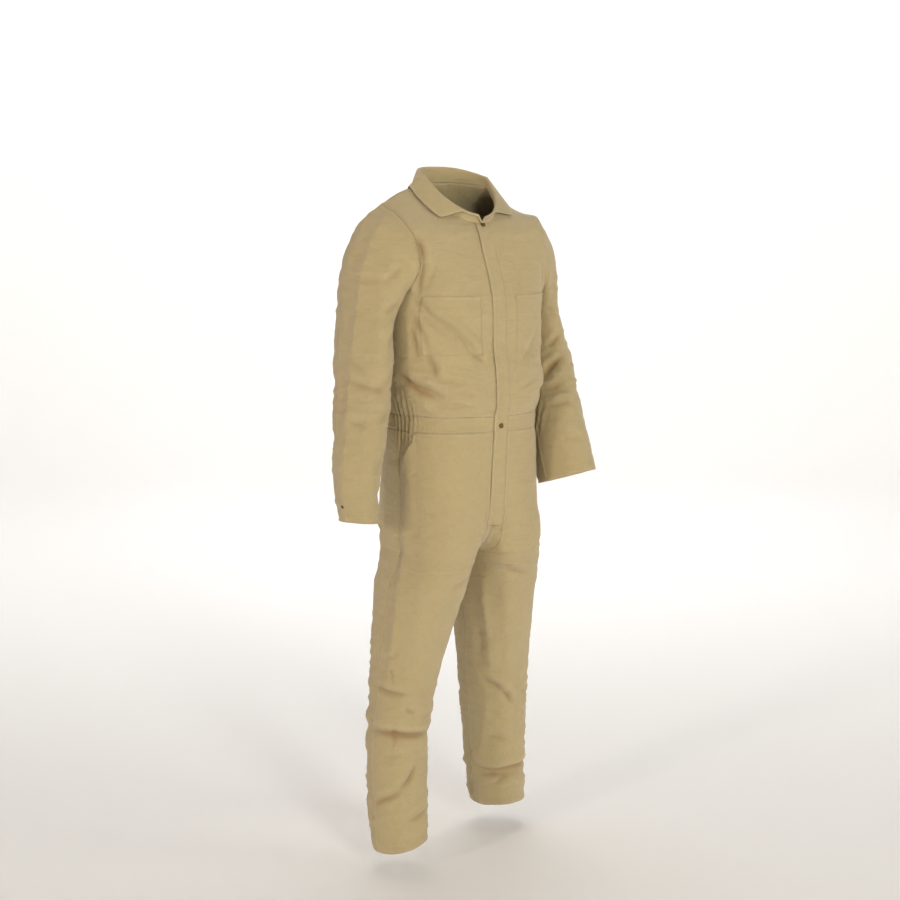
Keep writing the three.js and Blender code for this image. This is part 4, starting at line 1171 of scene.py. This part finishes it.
@dataclass
class Stitching:
    """Rows of lock stitches as one mesh: each stitch is a slim bead with pointed ends.

    Attributes:
        pitch: length of one stitch with its gap.
        length: length of the thread that shows.
        half: half thickness of the thread.
    """

    name: str
    pitch: float = 3.6
    length: float = 2.8
    half: float = 0.27
    beads: list[tuple[np.ndarray, np.ndarray, np.ndarray]] = field(default_factory=list)

    def sew(self, path: np.ndarray, normals: np.ndarray, lift: float = 0.15) -> None:
        """Adds stitches along a path on the cloth.

        Args:
            path: points along the line.
            normals: outward directions at the points.
            lift: how far the thread's middle lies above the cloth.
        """
        steps = np.linalg.norm(np.diff(path, axis=0), axis=1)
        run = np.concatenate([[0], np.cumsum(steps)])
        count = int(run[-1] / self.pitch)
        if count < 1:
            return
        at = (np.arange(count) + 0.5) * run[-1] / count

        def read(values: np.ndarray, where: np.ndarray) -> np.ndarray:
            """Values along the run."""
            return np.stack([np.interp(where, run, values[:, k]) for k in range(3)], axis=1)

        half = self.length / 2
        head, tail = read(path, at + half), read(path, at - half)
        normal = read(normals, at)
        normal /= np.linalg.norm(normal, axis=1, keepdims=True)
        self.beads.append((tail + normal * lift, head + normal * lift, normal))

    def build(self, material: bpy.types.Material) -> None:
        """Makes all stitches as one piece: a four-sided waist between two points each.

        Args:
            material: the thread.
        """
        tail, head, normal = (np.concatenate([bead[k] for bead in self.beads]) for k in range(3))
        way = head - tail
        way /= np.linalg.norm(way, axis=1, keepdims=True)
        side = np.cross(way, normal)
        middle = (head + tail) / 2
        ring = [middle + side * self.half, middle + normal * self.half,
                middle - side * self.half, middle - normal * self.half]
        points = np.stack([tail, *ring, head], axis=1)
        pattern = []
        for k in range(4):
            a, b = 1 + k, 1 + (k + 1) % 4
            pattern += [(0, b, a), (5, a, b)]
        base = (np.arange(len(tail)) * 6)[:, None, None]
        faces = (base + np.array(pattern)[None]).reshape(-1, 3)
        piece = new_object(self.name, metres(points), faces.tolist(), material)
        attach(piece, "root")
        LOG.info("%s: %d stitches", self.name, len(tail))


def on_grid(grid: Grid, down: np.ndarray, over: np.ndarray, lift: float) -> Grid:
    """Grid laid on another one: read at fractional lines and moved out.

    Args:
        grid: the cloth below, in fine lines.
        down: fine row of each point.
        over: fine column of each point.
        lift: distance from the cloth below, a number or one for each point.

    Returns:
        The laid grid with the same outward sign.
    """
    points, normals = grid.sample(down, over)
    laid = Grid(points + normals * np.asarray(lift)[..., None], grid.outward)
    laid.find_normals()
    laid.crease = np.zeros(down.shape)
    return laid


class Suit:
    """All panels of the suit in their worn form, draped once with shared directions at the seams."""

    def __init__(self) -> None:
        """Works out every panel's grid, shares directions at the seams and drapes the cloth."""
        shape = WornShape()
        self.shape = shape
        halves = {(front, sign): shape.bodice_half(FRONT_ROWS if front else BACK_ROWS, front, sign)
                  for front in (True, False) for sign in (RIGHT, LEFT)}
        legs = {(front, sign): shape.leg(LEGS[sign], front, sign)
                for front in (True, False) for sign in (RIGHT, LEFT)}
        loops = {sign: shape.armhole(sign, halves) for sign in (RIGHT, LEFT)}
        self.grids = {
            "bodice_front_right": Grid(halves[True, RIGHT], -1),
            "bodice_front_left": Grid(halves[True, LEFT], 1),
            "bodice_back": Grid(across_back(lambda s: halves[False, s]), -1),
            "waistband_front_right": Grid(shape.band(-142, RIGHT), 1),
            "waistband_front_left": Grid(shape.band(-142, LEFT), -1),
            "waistband_back": Grid(across_back(lambda s: shape.band(138, s)), 1),
            "trouser_front_right": Grid(legs[True, RIGHT], 1),
            "trouser_front_left": Grid(legs[True, LEFT], -1),
            "trouser_back_right": Grid(legs[False, RIGHT], -1),
            "trouser_back_left": Grid(legs[False, LEFT], 1),
            "sleeve_right": Grid(shape.sleeve(SLEEVES[RIGHT], RIGHT, loops[RIGHT]), 1, True),
            "sleeve_left": Grid(shape.sleeve(SLEEVES[LEFT], LEFT, loops[LEFT]), -1, True),
        }
        self.share_directions()
        self.drape(Drape())

    def share_directions(self) -> None:
        """Gives borders that meet the mean of their outward directions."""
        grids = list(self.grids.values())
        for grid in grids:
            grid.find_normals()
        masks = [grid.border() for grid in grids]
        places = np.concatenate([grid.rows[mask] for grid, mask in zip(grids, masks)])
        normals = np.concatenate([grid.normals[mask] for grid, mask in zip(grids, masks)])
        _, group = np.unique(np.round(places * 5), axis=0, return_inverse=True)
        group = group.reshape(-1)
        total = np.zeros((group.max() + 1, 3))
        np.add.at(total, group, normals)
        shared = total[group] / np.maximum(np.linalg.norm(total[group], axis=1, keepdims=True), 1e-9)
        start = 0
        for grid, mask in zip(grids, masks):
            count = int(mask.sum())
            grid.normals[mask] = shared[start : start + count]
            start += count

    def drape(self, drape: Drape) -> None:
        """Moves every grid by the drape and works out its directions again.

        Args:
            drape: what moves the cloth.
        """
        for grid in self.grids.values():
            push = drape.push(grid.rows, grid.normals)
            # crease heights, which the cloth paints as shade in troughs and highlight on ridges
            grid.crease = drape.creases(grid.rows, grid.normals)
            grid.rows = grid.rows + grid.normals * push[..., None]
            grid.find_normals()


# Flat cut of each panel: width and length in metres, and the share of that rectangle it fills.
CUTS: dict[str, tuple[float, float, float]] = {
    "bodice_front_right": (0.31, 0.50, 0.78),
    "bodice_front_left": (0.31, 0.50, 0.78),
    "bodice_back": (0.62, 0.56, 0.86),
    "waistband_front_right": (0.26, 0.034, 1.0),
    "waistband_front_left": (0.26, 0.034, 1.0),
    "waistband_back": (0.62, 0.034, 1.0),
    "trouser_front_right": (0.32, 0.94, 0.76),
    "trouser_front_left": (0.32, 0.94, 0.76),
    "trouser_back_right": (0.36, 0.94, 0.76),
    "trouser_back_left": (0.36, 0.94, 0.76),
    "sleeve_right": (0.50, 0.72, 0.80),
    "sleeve_left": (0.50, 0.66, 0.80),
}


@dataclass
class Panels:
    """The twelve panels of the body, sleeves and legs."""

    suit: Suit

    def build(self, cloth: bpy.types.Material) -> None:
        """Makes every panel as a thin shell.

        Args:
            cloth: the cloth.
        """
        for name, grid in self.suit.grids.items():
            width, length, share = CUTS[name]
            ClothPiece(f"cloth_{name}", grid, name, (width, length), share).build(cloth)


class Border(Enum):
    """Borders of a grid."""

    FIRST = "first column"
    LAST = "last column"
    TOP = "first row"
    BOTTOM = "last row"


def beside(grid: Grid, border: Border, span: tuple[float, float], inward: np.ndarray
           ) -> tuple[np.ndarray, np.ndarray]:
    """Fractional grid lines of places at distances in millimetres from a border.

    Args:
        grid: the cloth.
        border: the border.
        span: first and last grid line along it.
        inward: distances from it; negative ones pass over the seam of a closed grid.

    Returns:
        Rows and columns, shaped as places along by distances.
    """
    along = np.arange(span[0], span[1] + 1, dtype=float)
    line = np.clip(along.astype(int), 0, None)
    rows = grid.rows
    if border in (Border.FIRST, Border.LAST):
        a, b = (0, 1) if border is Border.FIRST else (-1, -2)
        step = np.linalg.norm(rows[line, a] - rows[line, b], axis=1)
        offset = inward[None] / np.maximum(step, 2.0)[:, None]
        over = offset if border is Border.FIRST else rows.shape[1] - 1 - offset
        return np.broadcast_arrays(along[:, None], over)
    a, b = (0, 1) if border is Border.TOP else (-1, -2)
    step = np.linalg.norm(rows[a, line] - rows[b, line], axis=1)
    offset = inward[None] / np.maximum(step, 2.0)[:, None]
    down = offset if border is Border.TOP else rows.shape[0] - 1 - offset
    return np.broadcast_arrays(down, along[:, None])


def sew_along(stitches: Stitching, grid: Grid, border: Border, span: tuple[float, float],
              distances: Sequence[float], lift: float = 0.15) -> None:
    """Sews rows of stitches at distances from a border.

    Args:
        stitches: the stitching that it adds to.
        grid: the cloth that is sewn.
        border: the border that the rows follow.
        span: first and last grid line along it.
        distances: distance of each row in millimetres.
        lift: how far the thread lies above the cloth.
    """
    for distance in distances:
        down, over = beside(grid, border, span, np.array([distance], float))
        path, normals = grid.sample(down, over)
        stitches.sew(path[:, 0], normals[:, 0], lift)


@dataclass
class FelledSeam:
    """Felled seam: folded cloth that lies beside a border as a low ridge, sewn down twice.

    Attributes:
        node: the panel that it lies on.
        border: the border it follows.
        span: first and last fine grid line along it.
        width: width of the ridge.
        height: its height over the cloth.
        over_seam: how far it passes over the seam itself.
    """

    name: str
    node: str
    border: Border
    span: tuple[float, float]
    width: float = 9.0
    height: float = 0.5
    over_seam: float = 0.6
    cells: int = 6

    def build(self, suit: Suit, cloth: bpy.types.Material, stitches: Stitching) -> None:
        """Makes the ridge: steep at both edges and almost level between, and sews it.

        Args:
            suit: the draped suit.
            cloth: the cloth.
            stitches: the stitching that it adds to.
        """
        grid = suit.grids[self.node]
        t = np.linspace(0, 1, self.cells + 1)
        down, over = beside(grid, self.border, self.span, mix(-self.over_seam, self.width, t))
        height = self.height * ease(t / 0.2) * ease((1 - t) / 0.2) + 0.1
        tape = on_grid(grid, down, over, np.broadcast_to(height, down.shape))
        _, normals = grid.sample(down, over)
        across = tape.rows[:-1, 1:] - tape.rows[:-1, :-1]
        facing = np.cross(across, tape.rows[1:, :-1] - tape.rows[:-1, :-1])
        tape.outward = 1 if float(np.sum(facing * normals[:-1, :-1])) > 0 else -1
        # the whole seam tape takes the paler ridge colour: painted highlight
        tape.crease = np.full(down.shape, 1.5)
        lines = (1.6, self.width - 1.8)
        sew_along(stitches, grid, self.border, self.span, lines, self.height + 0.2)
        ClothPiece(self.name, tape, "", (1, 1), sewn="").make_mesh(cloth)


@dataclass
class LaidPiece:
    """Piece laid on a panel between fractional columns, with its corners and its top hem.

    Attributes:
        node: the solid it stands for.
        under: the panel it lies on.
        rows: first and last row of the solids' grid.
        first: inner column, and last: the outer column at the first and at the last row.
        bend_row: row of the solids' grid at which the outer edge stops slanting.
        cut: width and length of the cut in metres, and its share.
        sewn_top: whether its first row is sewn to its neighbour.
    """

    node: str
    under: str
    rows: tuple[float, float]
    first: float
    last: tuple[float, float]
    bend_row: float
    cut: tuple[float, float, float]
    lift: float = 0.4
    mouth_lift: float = 1.0
    puff: float = 0.5
    sewn: str = "tbfl"
    edge_rows: tuple[float, ...] = (1.8, 7.8)
    top_rows: tuple[float, ...] = ()
    bottom_rows: tuple[float, ...] = (1.8, 7.8)
    mouth: Optional[Border] = None

    def build(self, suit: Suit, cloth: bpy.types.Material, stitches: Stitching) -> None:
        """Makes the piece: straight columns between its two edges, its borders lying closer.

        Args:
            suit: the draped suit.
            cloth: the cloth.
            stitches: the stitching that it adds to.
        """
        base = suit.grids[self.under]
        v = np.linspace(self.rows[0], self.rows[1], int((self.rows[1] - self.rows[0]) * FINE_DOWN) + 1)
        slant = clamp01((v - self.rows[0]) / (self.bend_row - self.rows[0] + 1e-9))
        reach = mix(self.last[0], self.last[1], slant)
        t = np.linspace(0, 1, int((self.last[1] - self.first) * FINE) + 2)[None]
        over = mix(self.first, reach[:, None], t) * FINE
        down = np.broadcast_to(v[:, None] * FINE_DOWN, over.shape)
        edge = np.minimum(np.minimum(t, 1 - t) * over.shape[1], np.minimum(
            (v - v[0])[:, None], (v[-1] - v)[:, None]) * FINE_DOWN)
        puff = self.puff * ease(edge / 6) + 0.2 * np.sin(0.9 * over + 0.4 * down) * ease(edge / 3)
        open_at = {Border.BOTTOM: (v[-1] - v)[:, None] * FINE_DOWN, Border.LAST: (1 - t) * over.shape[1]}
        gape = self.mouth_lift * (1 - ease(open_at[self.mouth] / 5)) * np.ones_like(over)
        if self.mouth is Border.LAST:
            gape = gape * np.sin(math.pi * clamp01((v - v[0]) / (self.bend_row - v[0])))[:, None]
        laid = on_grid(base, down, over, self.lift + puff + gape)
        # puffed middles take a trace of the painted ridge highlight
        laid.crease = puff - 0.4
        width, length, share = self.cut
        name = f"cloth_{self.node}"
        ClothPiece(name, laid, self.node, (width, length), share, "laid", self.sewn).build(cloth)
        last_row, last_column = laid.rows.shape[0] - 1, laid.rows.shape[1] - 1
        for border in (Border.FIRST, Border.LAST):
            sew_along(stitches, laid, border, (0, last_row), self.edge_rows)
        sew_along(stitches, laid, Border.TOP, (0, last_column), self.top_rows)
        sew_along(stitches, laid, Border.BOTTOM, (0, last_column), self.bottom_rows)


@dataclass
class Collar:
    """Turned-down collar: a stand that rises from the neckline, a rolled fold and a pointed leaf.

    Attributes:
        stand: height of the fold above the neckline at the back, front_stand at the front end.
        leaf: length of the leaf by its share of the way from the front end to the middle of the
            back: none at the front, longest at the point, even round the back.
    """

    suit: Suit
    stand: float = 31.0
    front_stand: float = 16.0
    leaf: tuple[tuple[float, float], ...] = ((0, 3), (0.21, 3), (0.33, 41), (0.6, 35), (1, 38))
    roll: float = 4.4
    rest: float = 4.2
    left_lower: float = 0.3
    samples: int = 30

    def neckline(self) -> np.ndarray:
        """Feet of the collar from the wearer's right front end round the back to the left one.

        Returns:
            Points in millimetres.
        """
        grids, end = self.suit.grids, NECK_COLUMNS * FINE
        middle = HALF * FINE
        feet = np.concatenate([
            grids["bodice_front_right"].rows[-1, : end + 1],
            grids["bodice_back"].rows[-1, middle - end + 1 : middle + end],
            grids["bodice_front_left"].rows[-1, end::-1],
        ])
        return through(np.arange(len(feet)), feet, np.arange(0, len(feet) - 0.9, 0.5))

    def ground(self) -> BVHTree:
        """Search tree over the bodice's three panels, from the armpits up.

        Returns:
            The tree.
        """
        points, faces = [], []
        for name in ("bodice_front_right", "bodice_front_left", "bodice_back"):
            rows = self.suit.grids[name].rows[LOW_ROWS * FINE_DOWN :]
            index = np.arange(rows.shape[0] * rows.shape[1]).reshape(rows.shape[:2]) + len(points)
            quads = np.stack([index[:-1, :-1], index[:-1, 1:], index[1:, 1:], index[1:, :-1]], axis=-1)
            faces += quads.reshape(-1, 4).tolist()
            points += rows.reshape(-1, 3).tolist()
        return BVHTree.FromPolygons(points, faces)

    def edge_of_leaf(self, feet: np.ndarray, outward: np.ndarray, leaf: np.ndarray) -> np.ndarray:
        """Places on the cloth reached by going outwards from each foot for the leaf's length.

        Args:
            feet: points of the neckline.
            outward: level direction at each foot.
            leaf: length at each foot in millimetres.

        Returns:
            Points, lightly smoothed along the edge.
        """
        tree = self.ground()
        down = Vector((0, 0, -1))
        ends = []
        for foot, way, length in zip(feet, outward, leaf):
            here, gone, step = foot.copy(), 0.0, 0
            while gone < length:
                step += 1
                there = foot + way * step
                hit = tree.ray_cast(Vector((there[0], there[1], 1700.0)), down)[0]
                there[2] = hit.z if hit is not None else here[2] - 1.5
                gone += float(np.linalg.norm(there - here))
                here = there
            ends.append(here)
        ends = np.array(ends)
        kernel = np.array([1, 2, 1]) / 4
        padded = np.pad(ends, ((1, 1), (0, 0)), mode="edge")
        smooth = np.stack([np.convolve(padded[:, k], kernel, mode="valid") for k in range(3)], axis=1)
        smooth[[0, 1, -2, -1]] = ends[[0, 1, -2, -1]]
        return smooth

    def grid(self) -> Grid:
        """Cubic curve through the stand, the rolled fold and the leaf at every foot.

        Returns:
            The collar's outer face.
        """
        feet = self.neckline()
        last = len(feet) - 1
        outward = feet - (0, self.suit.shape.neck_side[0], 0)
        outward[:, 2] = 0
        outward /= np.linalg.norm(outward, axis=1, keepdims=True)
        k = np.arange(last + 1)
        share = np.minimum(k, last - k) / (last / 2)
        stand = mix(self.front_stand, self.stand, ease(share * 1.2)) * (0.15 + 0.85 * ease(share / 0.07))
        stand *= 1 - self.left_lower * ease((k / last - 0.55) / 0.2)
        leaf = np.interp(share, *np.array(self.leaf).T)
        rise = clamp01((share - 0.21) / 0.12)
        end = self.edge_of_leaf(feet, outward, leaf)
        up = np.array([0, 0, 1.0])
        end = end + outward * self.rest * 0.6 + up * self.rest * (0.5 + 0.5 * rise[:, None])
        stand, side = stand[:, None], outward
        start = feet + side * self.roll + up * stand
        end = mix(start, end, mix(0.12, 1.0, rise)[:, None])
        keys = np.stack([
            feet + up * 0.3,
            feet - side * 0.5 + up * stand * 0.5,
            feet + up * stand,
            feet + side * self.roll * 0.5 + up * (stand + self.roll * 0.55),
            start,
            mix(start, end, 0.35) + side * 1.6 * rise[:, None],
            mix(start, end, 0.7) + side * 1.2 * rise[:, None],
            end,
        ])
        lengths = np.array([0, 16, 31, 35, 39, 54, 68, 80.0])
        points = through(lengths, keys, np.linspace(0, lengths[-1], self.samples + 1))
        collar = Grid(np.swapaxes(points, 0, 1), 1)
        collar.find_normals()
        wave = 0.5 * np.sin(k / 4.3)[:, None] * ease((np.linspace(0, 1, self.samples + 1) - 0.5) * 2)[None]
        collar.rows = collar.rows + collar.normals * wave[..., None]
        collar.find_normals()
        collar.crease = wave * 0
        return collar

    def build(self, cloth: bpy.types.Material, stitches: Stitching) -> None:
        """Makes the collar and sews its outer edge twice.

        Args:
            cloth: the cloth.
            stitches: the stitching that it adds to.
        """
        grid = self.grid()
        ClothPiece("cloth_collar", grid, "collar", (0.46, 0.085), 0.85, held="folded", thick=1.5).build(cloth)
        last = grid.rows.shape[0] - 1
        sew_along(stitches, grid, Border.LAST, (0, last), (2.0, 8.0))


@dataclass
class Placket:
    """Strip over the front opening, from the neck to the fly, its free edge on the wearer's right."""

    suit: Suit
    lift: float = 1.1
    edge_columns: int = 7
    free_edge: float = 2.6

    def grid(self) -> Grid:
        """Strip read from both fronts, the waistband and the fly, from the neck down.

        Returns:
            The strip's outer face.
        """
        grids = self.suit.grids
        fly_rows = LEG_BANDS[0][1] * FINE_DOWN
        right, left = (np.concatenate([
            grids[f"bodice_front_{side}"].rows[::-1, : FINE + 1],
            grids[f"waistband_front_{side}"].rows[1:-1, : FINE + 1],
            grids[f"trouser_front_{side}"].rows[: fly_rows + 1, : FINE + 1],
        ]) for side in ("right", "left"))
        base = Grid(np.concatenate([right[:, :0:-1], left], axis=1), -1)
        base.find_normals()
        over = np.linspace(0, 2 * FINE, 2 * self.edge_columns + 1)[None]
        down = np.arange(base.rows.shape[0], dtype=float)[:, None]
        down, over = np.broadcast_arrays(down, over)
        wander = 0.6 + 0.4 * np.sin(down / 9.0) * np.sin(down / 23.0 + 1)
        free = self.free_edge * wander * np.exp(-((over / 2.2) ** 2))
        flush = ease((2 * FINE - over) / FINE)
        low_end = ease((base.rows.shape[0] - 1 - down) / 30)
        laid = on_grid(base, down, over, mix(0.25, self.lift, flush * low_end) + free * low_end)
        laid.crease = free * 0
        return laid

    def build(self, cloth: bpy.types.Material, stitches: Stitching) -> None:
        """Makes the strip and sews its fixed edge once and its low end twice.

        Args:
            cloth: the cloth.
            stitches: the stitching that it adds to.
        """
        grid = self.grid()
        ClothPiece("cloth_front_placket", grid, "front_placket", (0.042, 0.70), 0.9, "laid", "f").build(cloth)
        last_row, last_column = grid.rows.shape[0] - 1, grid.rows.shape[1] - 1
        sew_along(stitches, grid, Border.LAST, (0, last_row), (1.8,))
        sew_along(stitches, grid, Border.BOTTOM, (0, last_column), (1.8, 6.0))


@dataclass
class Seams:
    """Felled seams and hems of the whole suit."""

    suit: Suit

    def felled(self) -> list[FelledSeam]:
        """The seams that are folded and sewn twice, by the panel that carries the ridge.

        Returns:
            The seams.
        """
        low, top = LOW_ROWS * FINE_DOWN, (LOW_ROWS + ARMHOLE_ROWS) * FINE_DOWN
        leg = sum(rows for _, rows in LEG_BANDS) * FINE_DOWN
        crotch = sum(rows for _, rows in LEG_BANDS[:2]) * FINE_DOWN
        fly = LEG_BANDS[0][1] * FINE_DOWN
        neck, middle = NECK_COLUMNS * FINE, HALF * FINE
        seams = []
        for side in ("right", "left"):
            sign = RIGHT if side == "right" else LEFT
            front, back = f"bodice_front_{side}", "bodice_back"
            back_border = Border.FIRST if sign == RIGHT else Border.LAST
            shoulder = (0, middle - neck) if sign == RIGHT else (middle + neck, 2 * middle)
            seams += [
                FelledSeam(f"armhole_front_{side}", front, Border.LAST, (low, top)),
                FelledSeam(f"armhole_back_{side}", back, back_border, (low, top)),
                FelledSeam(f"side_seam_{side}", back, back_border, (0, low)),
                FelledSeam(f"shoulder_seam_{side}", back, Border.BOTTOM, shoulder),
                FelledSeam(f"sleeve_seam_{side}", f"sleeve_{side}", Border.FIRST,
                           (3, SLEEVE_ROWS * FINE_DOWN), 4.5, 0.7, 4.5),
                FelledSeam(f"outer_leg_seam_{side}", f"trouser_back_{side}", Border.LAST, (0, leg)),
                FelledSeam(f"inner_leg_seam_{side}", f"trouser_back_{side}", Border.FIRST, (crotch + 6, leg)),
            ]
        seams += [
            FelledSeam("seat_seam", "trouser_back_left", Border.FIRST, (0, crotch)),
            FelledSeam("crotch_seam", "trouser_front_left", Border.FIRST, (fly + 2, crotch)),
        ]
        return seams

    def build(self, cloth: bpy.types.Material, stitches: Stitching) -> None:
        """Makes the ridges, and sews the waistband, the cuffs and the hems.

        Args:
            cloth: the cloth.
            stitches: the stitching that it adds to.
        """
        for seam in self.felled():
            seam.build(self.suit, cloth, stitches)
        grids = self.suit.grids
        for name in ("waistband_front_right", "waistband_front_left", "waistband_back"):
            last = grids[name].rows.shape[1] - 1
            for border in (Border.TOP, Border.BOTTOM):
                sew_along(stitches, grids[name], border, (0, last), (1.8, 5.5))
        for side in ("right", "left"):
            ring = grids[f"sleeve_{side}"].rows.shape[1]
            sew_along(stitches, grids[f"sleeve_{side}"], Border.BOTTOM, (0, ring - 1), (16.0, 18.5))
            for part in ("front", "back"):
                last = grids[f"trouser_{part}_{side}"].rows.shape[1] - 1
                sew_along(stitches, grids[f"trouser_{part}_{side}"], Border.BOTTOM, (0, last), (14.0,))


@dataclass
class Pockets:
    """Two chest patch pockets and the two large hip pocket panels."""

    suit: Suit

    def pieces(self) -> list[LaidPiece]:
        """The four pockets with their edges and their stitching.

        Returns:
            The pockets.
        """
        hip_rows = sum(rows for _, rows in LEG_BANDS[:3])
        found = []
        for side in ("right", "left"):
            found.append(LaidPiece(
                f"chest_pocket_{side}", f"bodice_front_{side}", (5, 10), 2.0, (7.0, 7.0), 10,
                (0.135, 0.155, 0.95), lift=0.3, mouth_lift=1.4, puff=0.3, sewn="b", edge_rows=(1.8,),
                top_rows=(1.8,), bottom_rows=(1.8, 20.0), mouth=Border.BOTTOM))
            found.append(LaidPiece(
                f"hip_pocket_{side}", f"trouser_front_{side}", (0, hip_rows), 1.02, (8.6, 10.75), 3,
                (0.24, 0.31, 0.86), mouth_lift=6.0, bottom_rows=(2.0, 8.0), mouth=Border.LAST))
        return found

    def build(self, cloth: bpy.types.Material, stitches: Stitching) -> None:
        """Makes the four pockets.

        Args:
            cloth: the cloth.
            stitches: the stitching that it adds to.
        """
        for piece in self.pieces():
            piece.build(self.suit, cloth, stitches)


@dataclass
class Snaps:
    """Metal snap caps that stay as the solids have them."""

    names: tuple[str, ...] = ("snap_neck", "snap_waist", "snap_cuff_right", "snap_cuff_left")

    def dress(self, brass: bpy.types.Material) -> None:
        """Gives each cap its metal.

        Args:
            brass: the metal.
        """
        for name in self.names:
            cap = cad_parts[name]
            cap.data.materials.clear()
            cap.data.materials.append(brass)
            LOG.info("%s: dressed in %s", name, brass.name)


@dataclass(frozen=True)
class Lamp:
    """Round soft light, aimed at a place one metre above the floor.

    Attributes:
        azimuth: its direction round the suit in degrees, 0 in front.
        height: its height above the floor in metres.
        away: its level distance from the suit's axis.
        size: its diameter.
        power: its power in watts.
        colour: its colour.
        aim_away: level distance from the axis of the place that it is aimed at.
    """

    name: str
    azimuth: float
    height: float
    away: float
    size: float
    power: float
    colour: str
    aim_away: float = 0.0


LAMPS = (
    Lamp("key", -14.0, 2.6, 7.4, 1.5, 165.0, "#fbfff4"),
    Lamp("fill", 40.0, 2.0, 6.0, 2.5, 55.0, "#fff6ec"),
    Lamp("side", -75.0, 2.1, 6.0, 0.6, 68.0, "#fff0e0"),
    Lamp("top", 145.0, 5.0, 1.5, 3.0, 48.0, "#fbfdff", 1.0),
    Lamp("wall", 145.0, 4.6, 3.0, 3.0, 150.0, "#fbfdff", 8.0),
)


@dataclass
class Studio:
    """Pale floor and sky, soft lights, and the camera at the photograph's angle.

    Attributes:
        azimuth: camera's direction round the suit in degrees, 0 in front.
        height: height of the lens above the floor in metres.
        distance: level distance from the suit's axis.
        aside: how far the camera stands to its own right.
        pitch: how far it looks down.
        focal_share: focal length as a share of the picture's width.
    """

    azimuth: float = -35.19
    height: float = 1.469
    distance: float = 4.168
    aside: float = -0.024
    pitch: float = 7.56
    focal_share: float = 1899 / 900
    wall_away: float = 6.0
    curve: float = 2.0
    wall_top: float = 9.0

    def place(self, azimuth: float, height: float, away: float) -> Vector:
        """Place at an azimuth, a height above the floor and a level distance."""
        a = math.radians(azimuth)
        return Vector((math.sin(a) * away, -math.cos(a) * away, height - HOLD_HEIGHT / 1000))

    def camera(self) -> None:
        """Makes the camera."""
        a, down = math.radians(self.azimuth), math.radians(self.pitch)
        right = Vector((math.cos(a), math.sin(a), 0))
        away = Vector((math.sin(a), -math.cos(a), 0))
        data = bpy.data.cameras.new("camera")
        data.sensor_width = 36.0
        data.lens = 36.0 * self.focal_share
        camera = bpy.data.objects.new("camera", data)
        camera.location = self.place(self.azimuth, self.height, self.distance) + right * self.aside
        forward = -away * math.cos(down) - Vector((0, 0, math.sin(down)))
        camera.rotation_mode = "QUATERNION"
        camera.rotation_quaternion = forward.to_track_quat("-Z", "Y")
        bpy.context.scene.collection.objects.link(camera)
        bpy.context.scene.camera = camera

    def backdrop(self) -> None:
        """Floor, as a wide disc with raised rim: flat, then rising as a quarter circle."""
        ring = np.linspace(0, 2 * math.pi, 97)[:-1]
        bend = np.linspace(0.1, math.pi / 2, 12)
        reach = np.concatenate([[0.02], np.linspace(0.5, self.wall_away, 12),
                                self.wall_away + self.curve * np.sin(bend),
                                [self.wall_away + self.curve]])
        rise = np.concatenate([np.zeros(13), self.curve * (1 - np.cos(bend)), [self.wall_top]])
        points = np.stack([reach[:, None] * np.cos(ring), reach[:, None] * np.sin(ring),
                           np.broadcast_to(rise[:, None], (len(reach), len(ring)))], axis=-1)
        points[..., 2] -= HOLD_HEIGHT / 1000
        index = np.arange(points.shape[0] * points.shape[1]).reshape(points.shape[:2])
        wide = np.concatenate([index, index[:, :1]], axis=1)
        quads = np.stack([wide[:-1, :-1], wide[1:, :-1], wide[1:, 1:], wide[:-1, 1:]], axis=-1)
        material = bpy.data.materials.new("painted_studio_floor")
        material.use_nodes = True
        shader = material.node_tree.nodes["Principled BSDF"]
        shader.inputs["Base Color"].default_value = linear_colour("#fafafa")
        shader.inputs["Roughness"].default_value = 0.9
        shader.inputs["Emission Color"].default_value = linear_colour("#fff0e4")
        shader.inputs["Emission Strength"].default_value = 0.05
        faces = quads.reshape(-1, 4).tolist() + [index[0].tolist()]
        floor = new_object("floor", points, faces, material)

    def lights(self) -> None:
        """Soft key from the front, fill and side lights, two high ones behind and an even sky."""
        world = bpy.data.worlds.new("sky")
        world.use_nodes = True
        world.node_tree.nodes["Background"].inputs[0].default_value = linear_colour("#ffdcc2")
        world.node_tree.nodes["Background"].inputs[1].default_value = 0.08
        bpy.context.scene.world = world
        for lamp in LAMPS:
            data = bpy.data.lights.new(lamp.name, "AREA")
            data.shape = "DISK"
            data.size = lamp.size
            data.energy = lamp.power
            data.color = linear_colour(lamp.colour)[:3]
            light = bpy.data.objects.new(lamp.name, data)
            light.location = self.place(lamp.azimuth, lamp.height, lamp.away)
            aim = self.place(lamp.azimuth, 1.0, lamp.aim_away) - light.location
            light.rotation_mode = "QUATERNION"
            light.rotation_quaternion = aim.to_track_quat("-Z", "Y")
            bpy.context.scene.collection.objects.link(light)
        bpy.context.scene.view_settings.view_transform = "Standard"

    def build(self) -> None:
        """Sets the whole studio up."""
        self.camera()
        self.backdrop()
        self.lights()


def main() -> None:
    """Sets the camera and the light, and builds the suit in order."""
    logging.basicConfig(level=logging.INFO, format="%(name)s %(message)s")
    Studio().build()
    cloth = WashedTwill().build()
    suit = Suit()
    stitches = Stitching("stitching")
    Panels(suit).build(cloth)
    Placket(suit).build(cloth, stitches)
    Pockets(suit).build(cloth, stitches)
    Collar(suit).build(cloth, stitches)
    Seams(suit).build(cloth, stitches)
    stitches.build(SewingThread().build())
    Snaps().dress(AgedBrass().build())


if __name__ == "__main__":
    main()
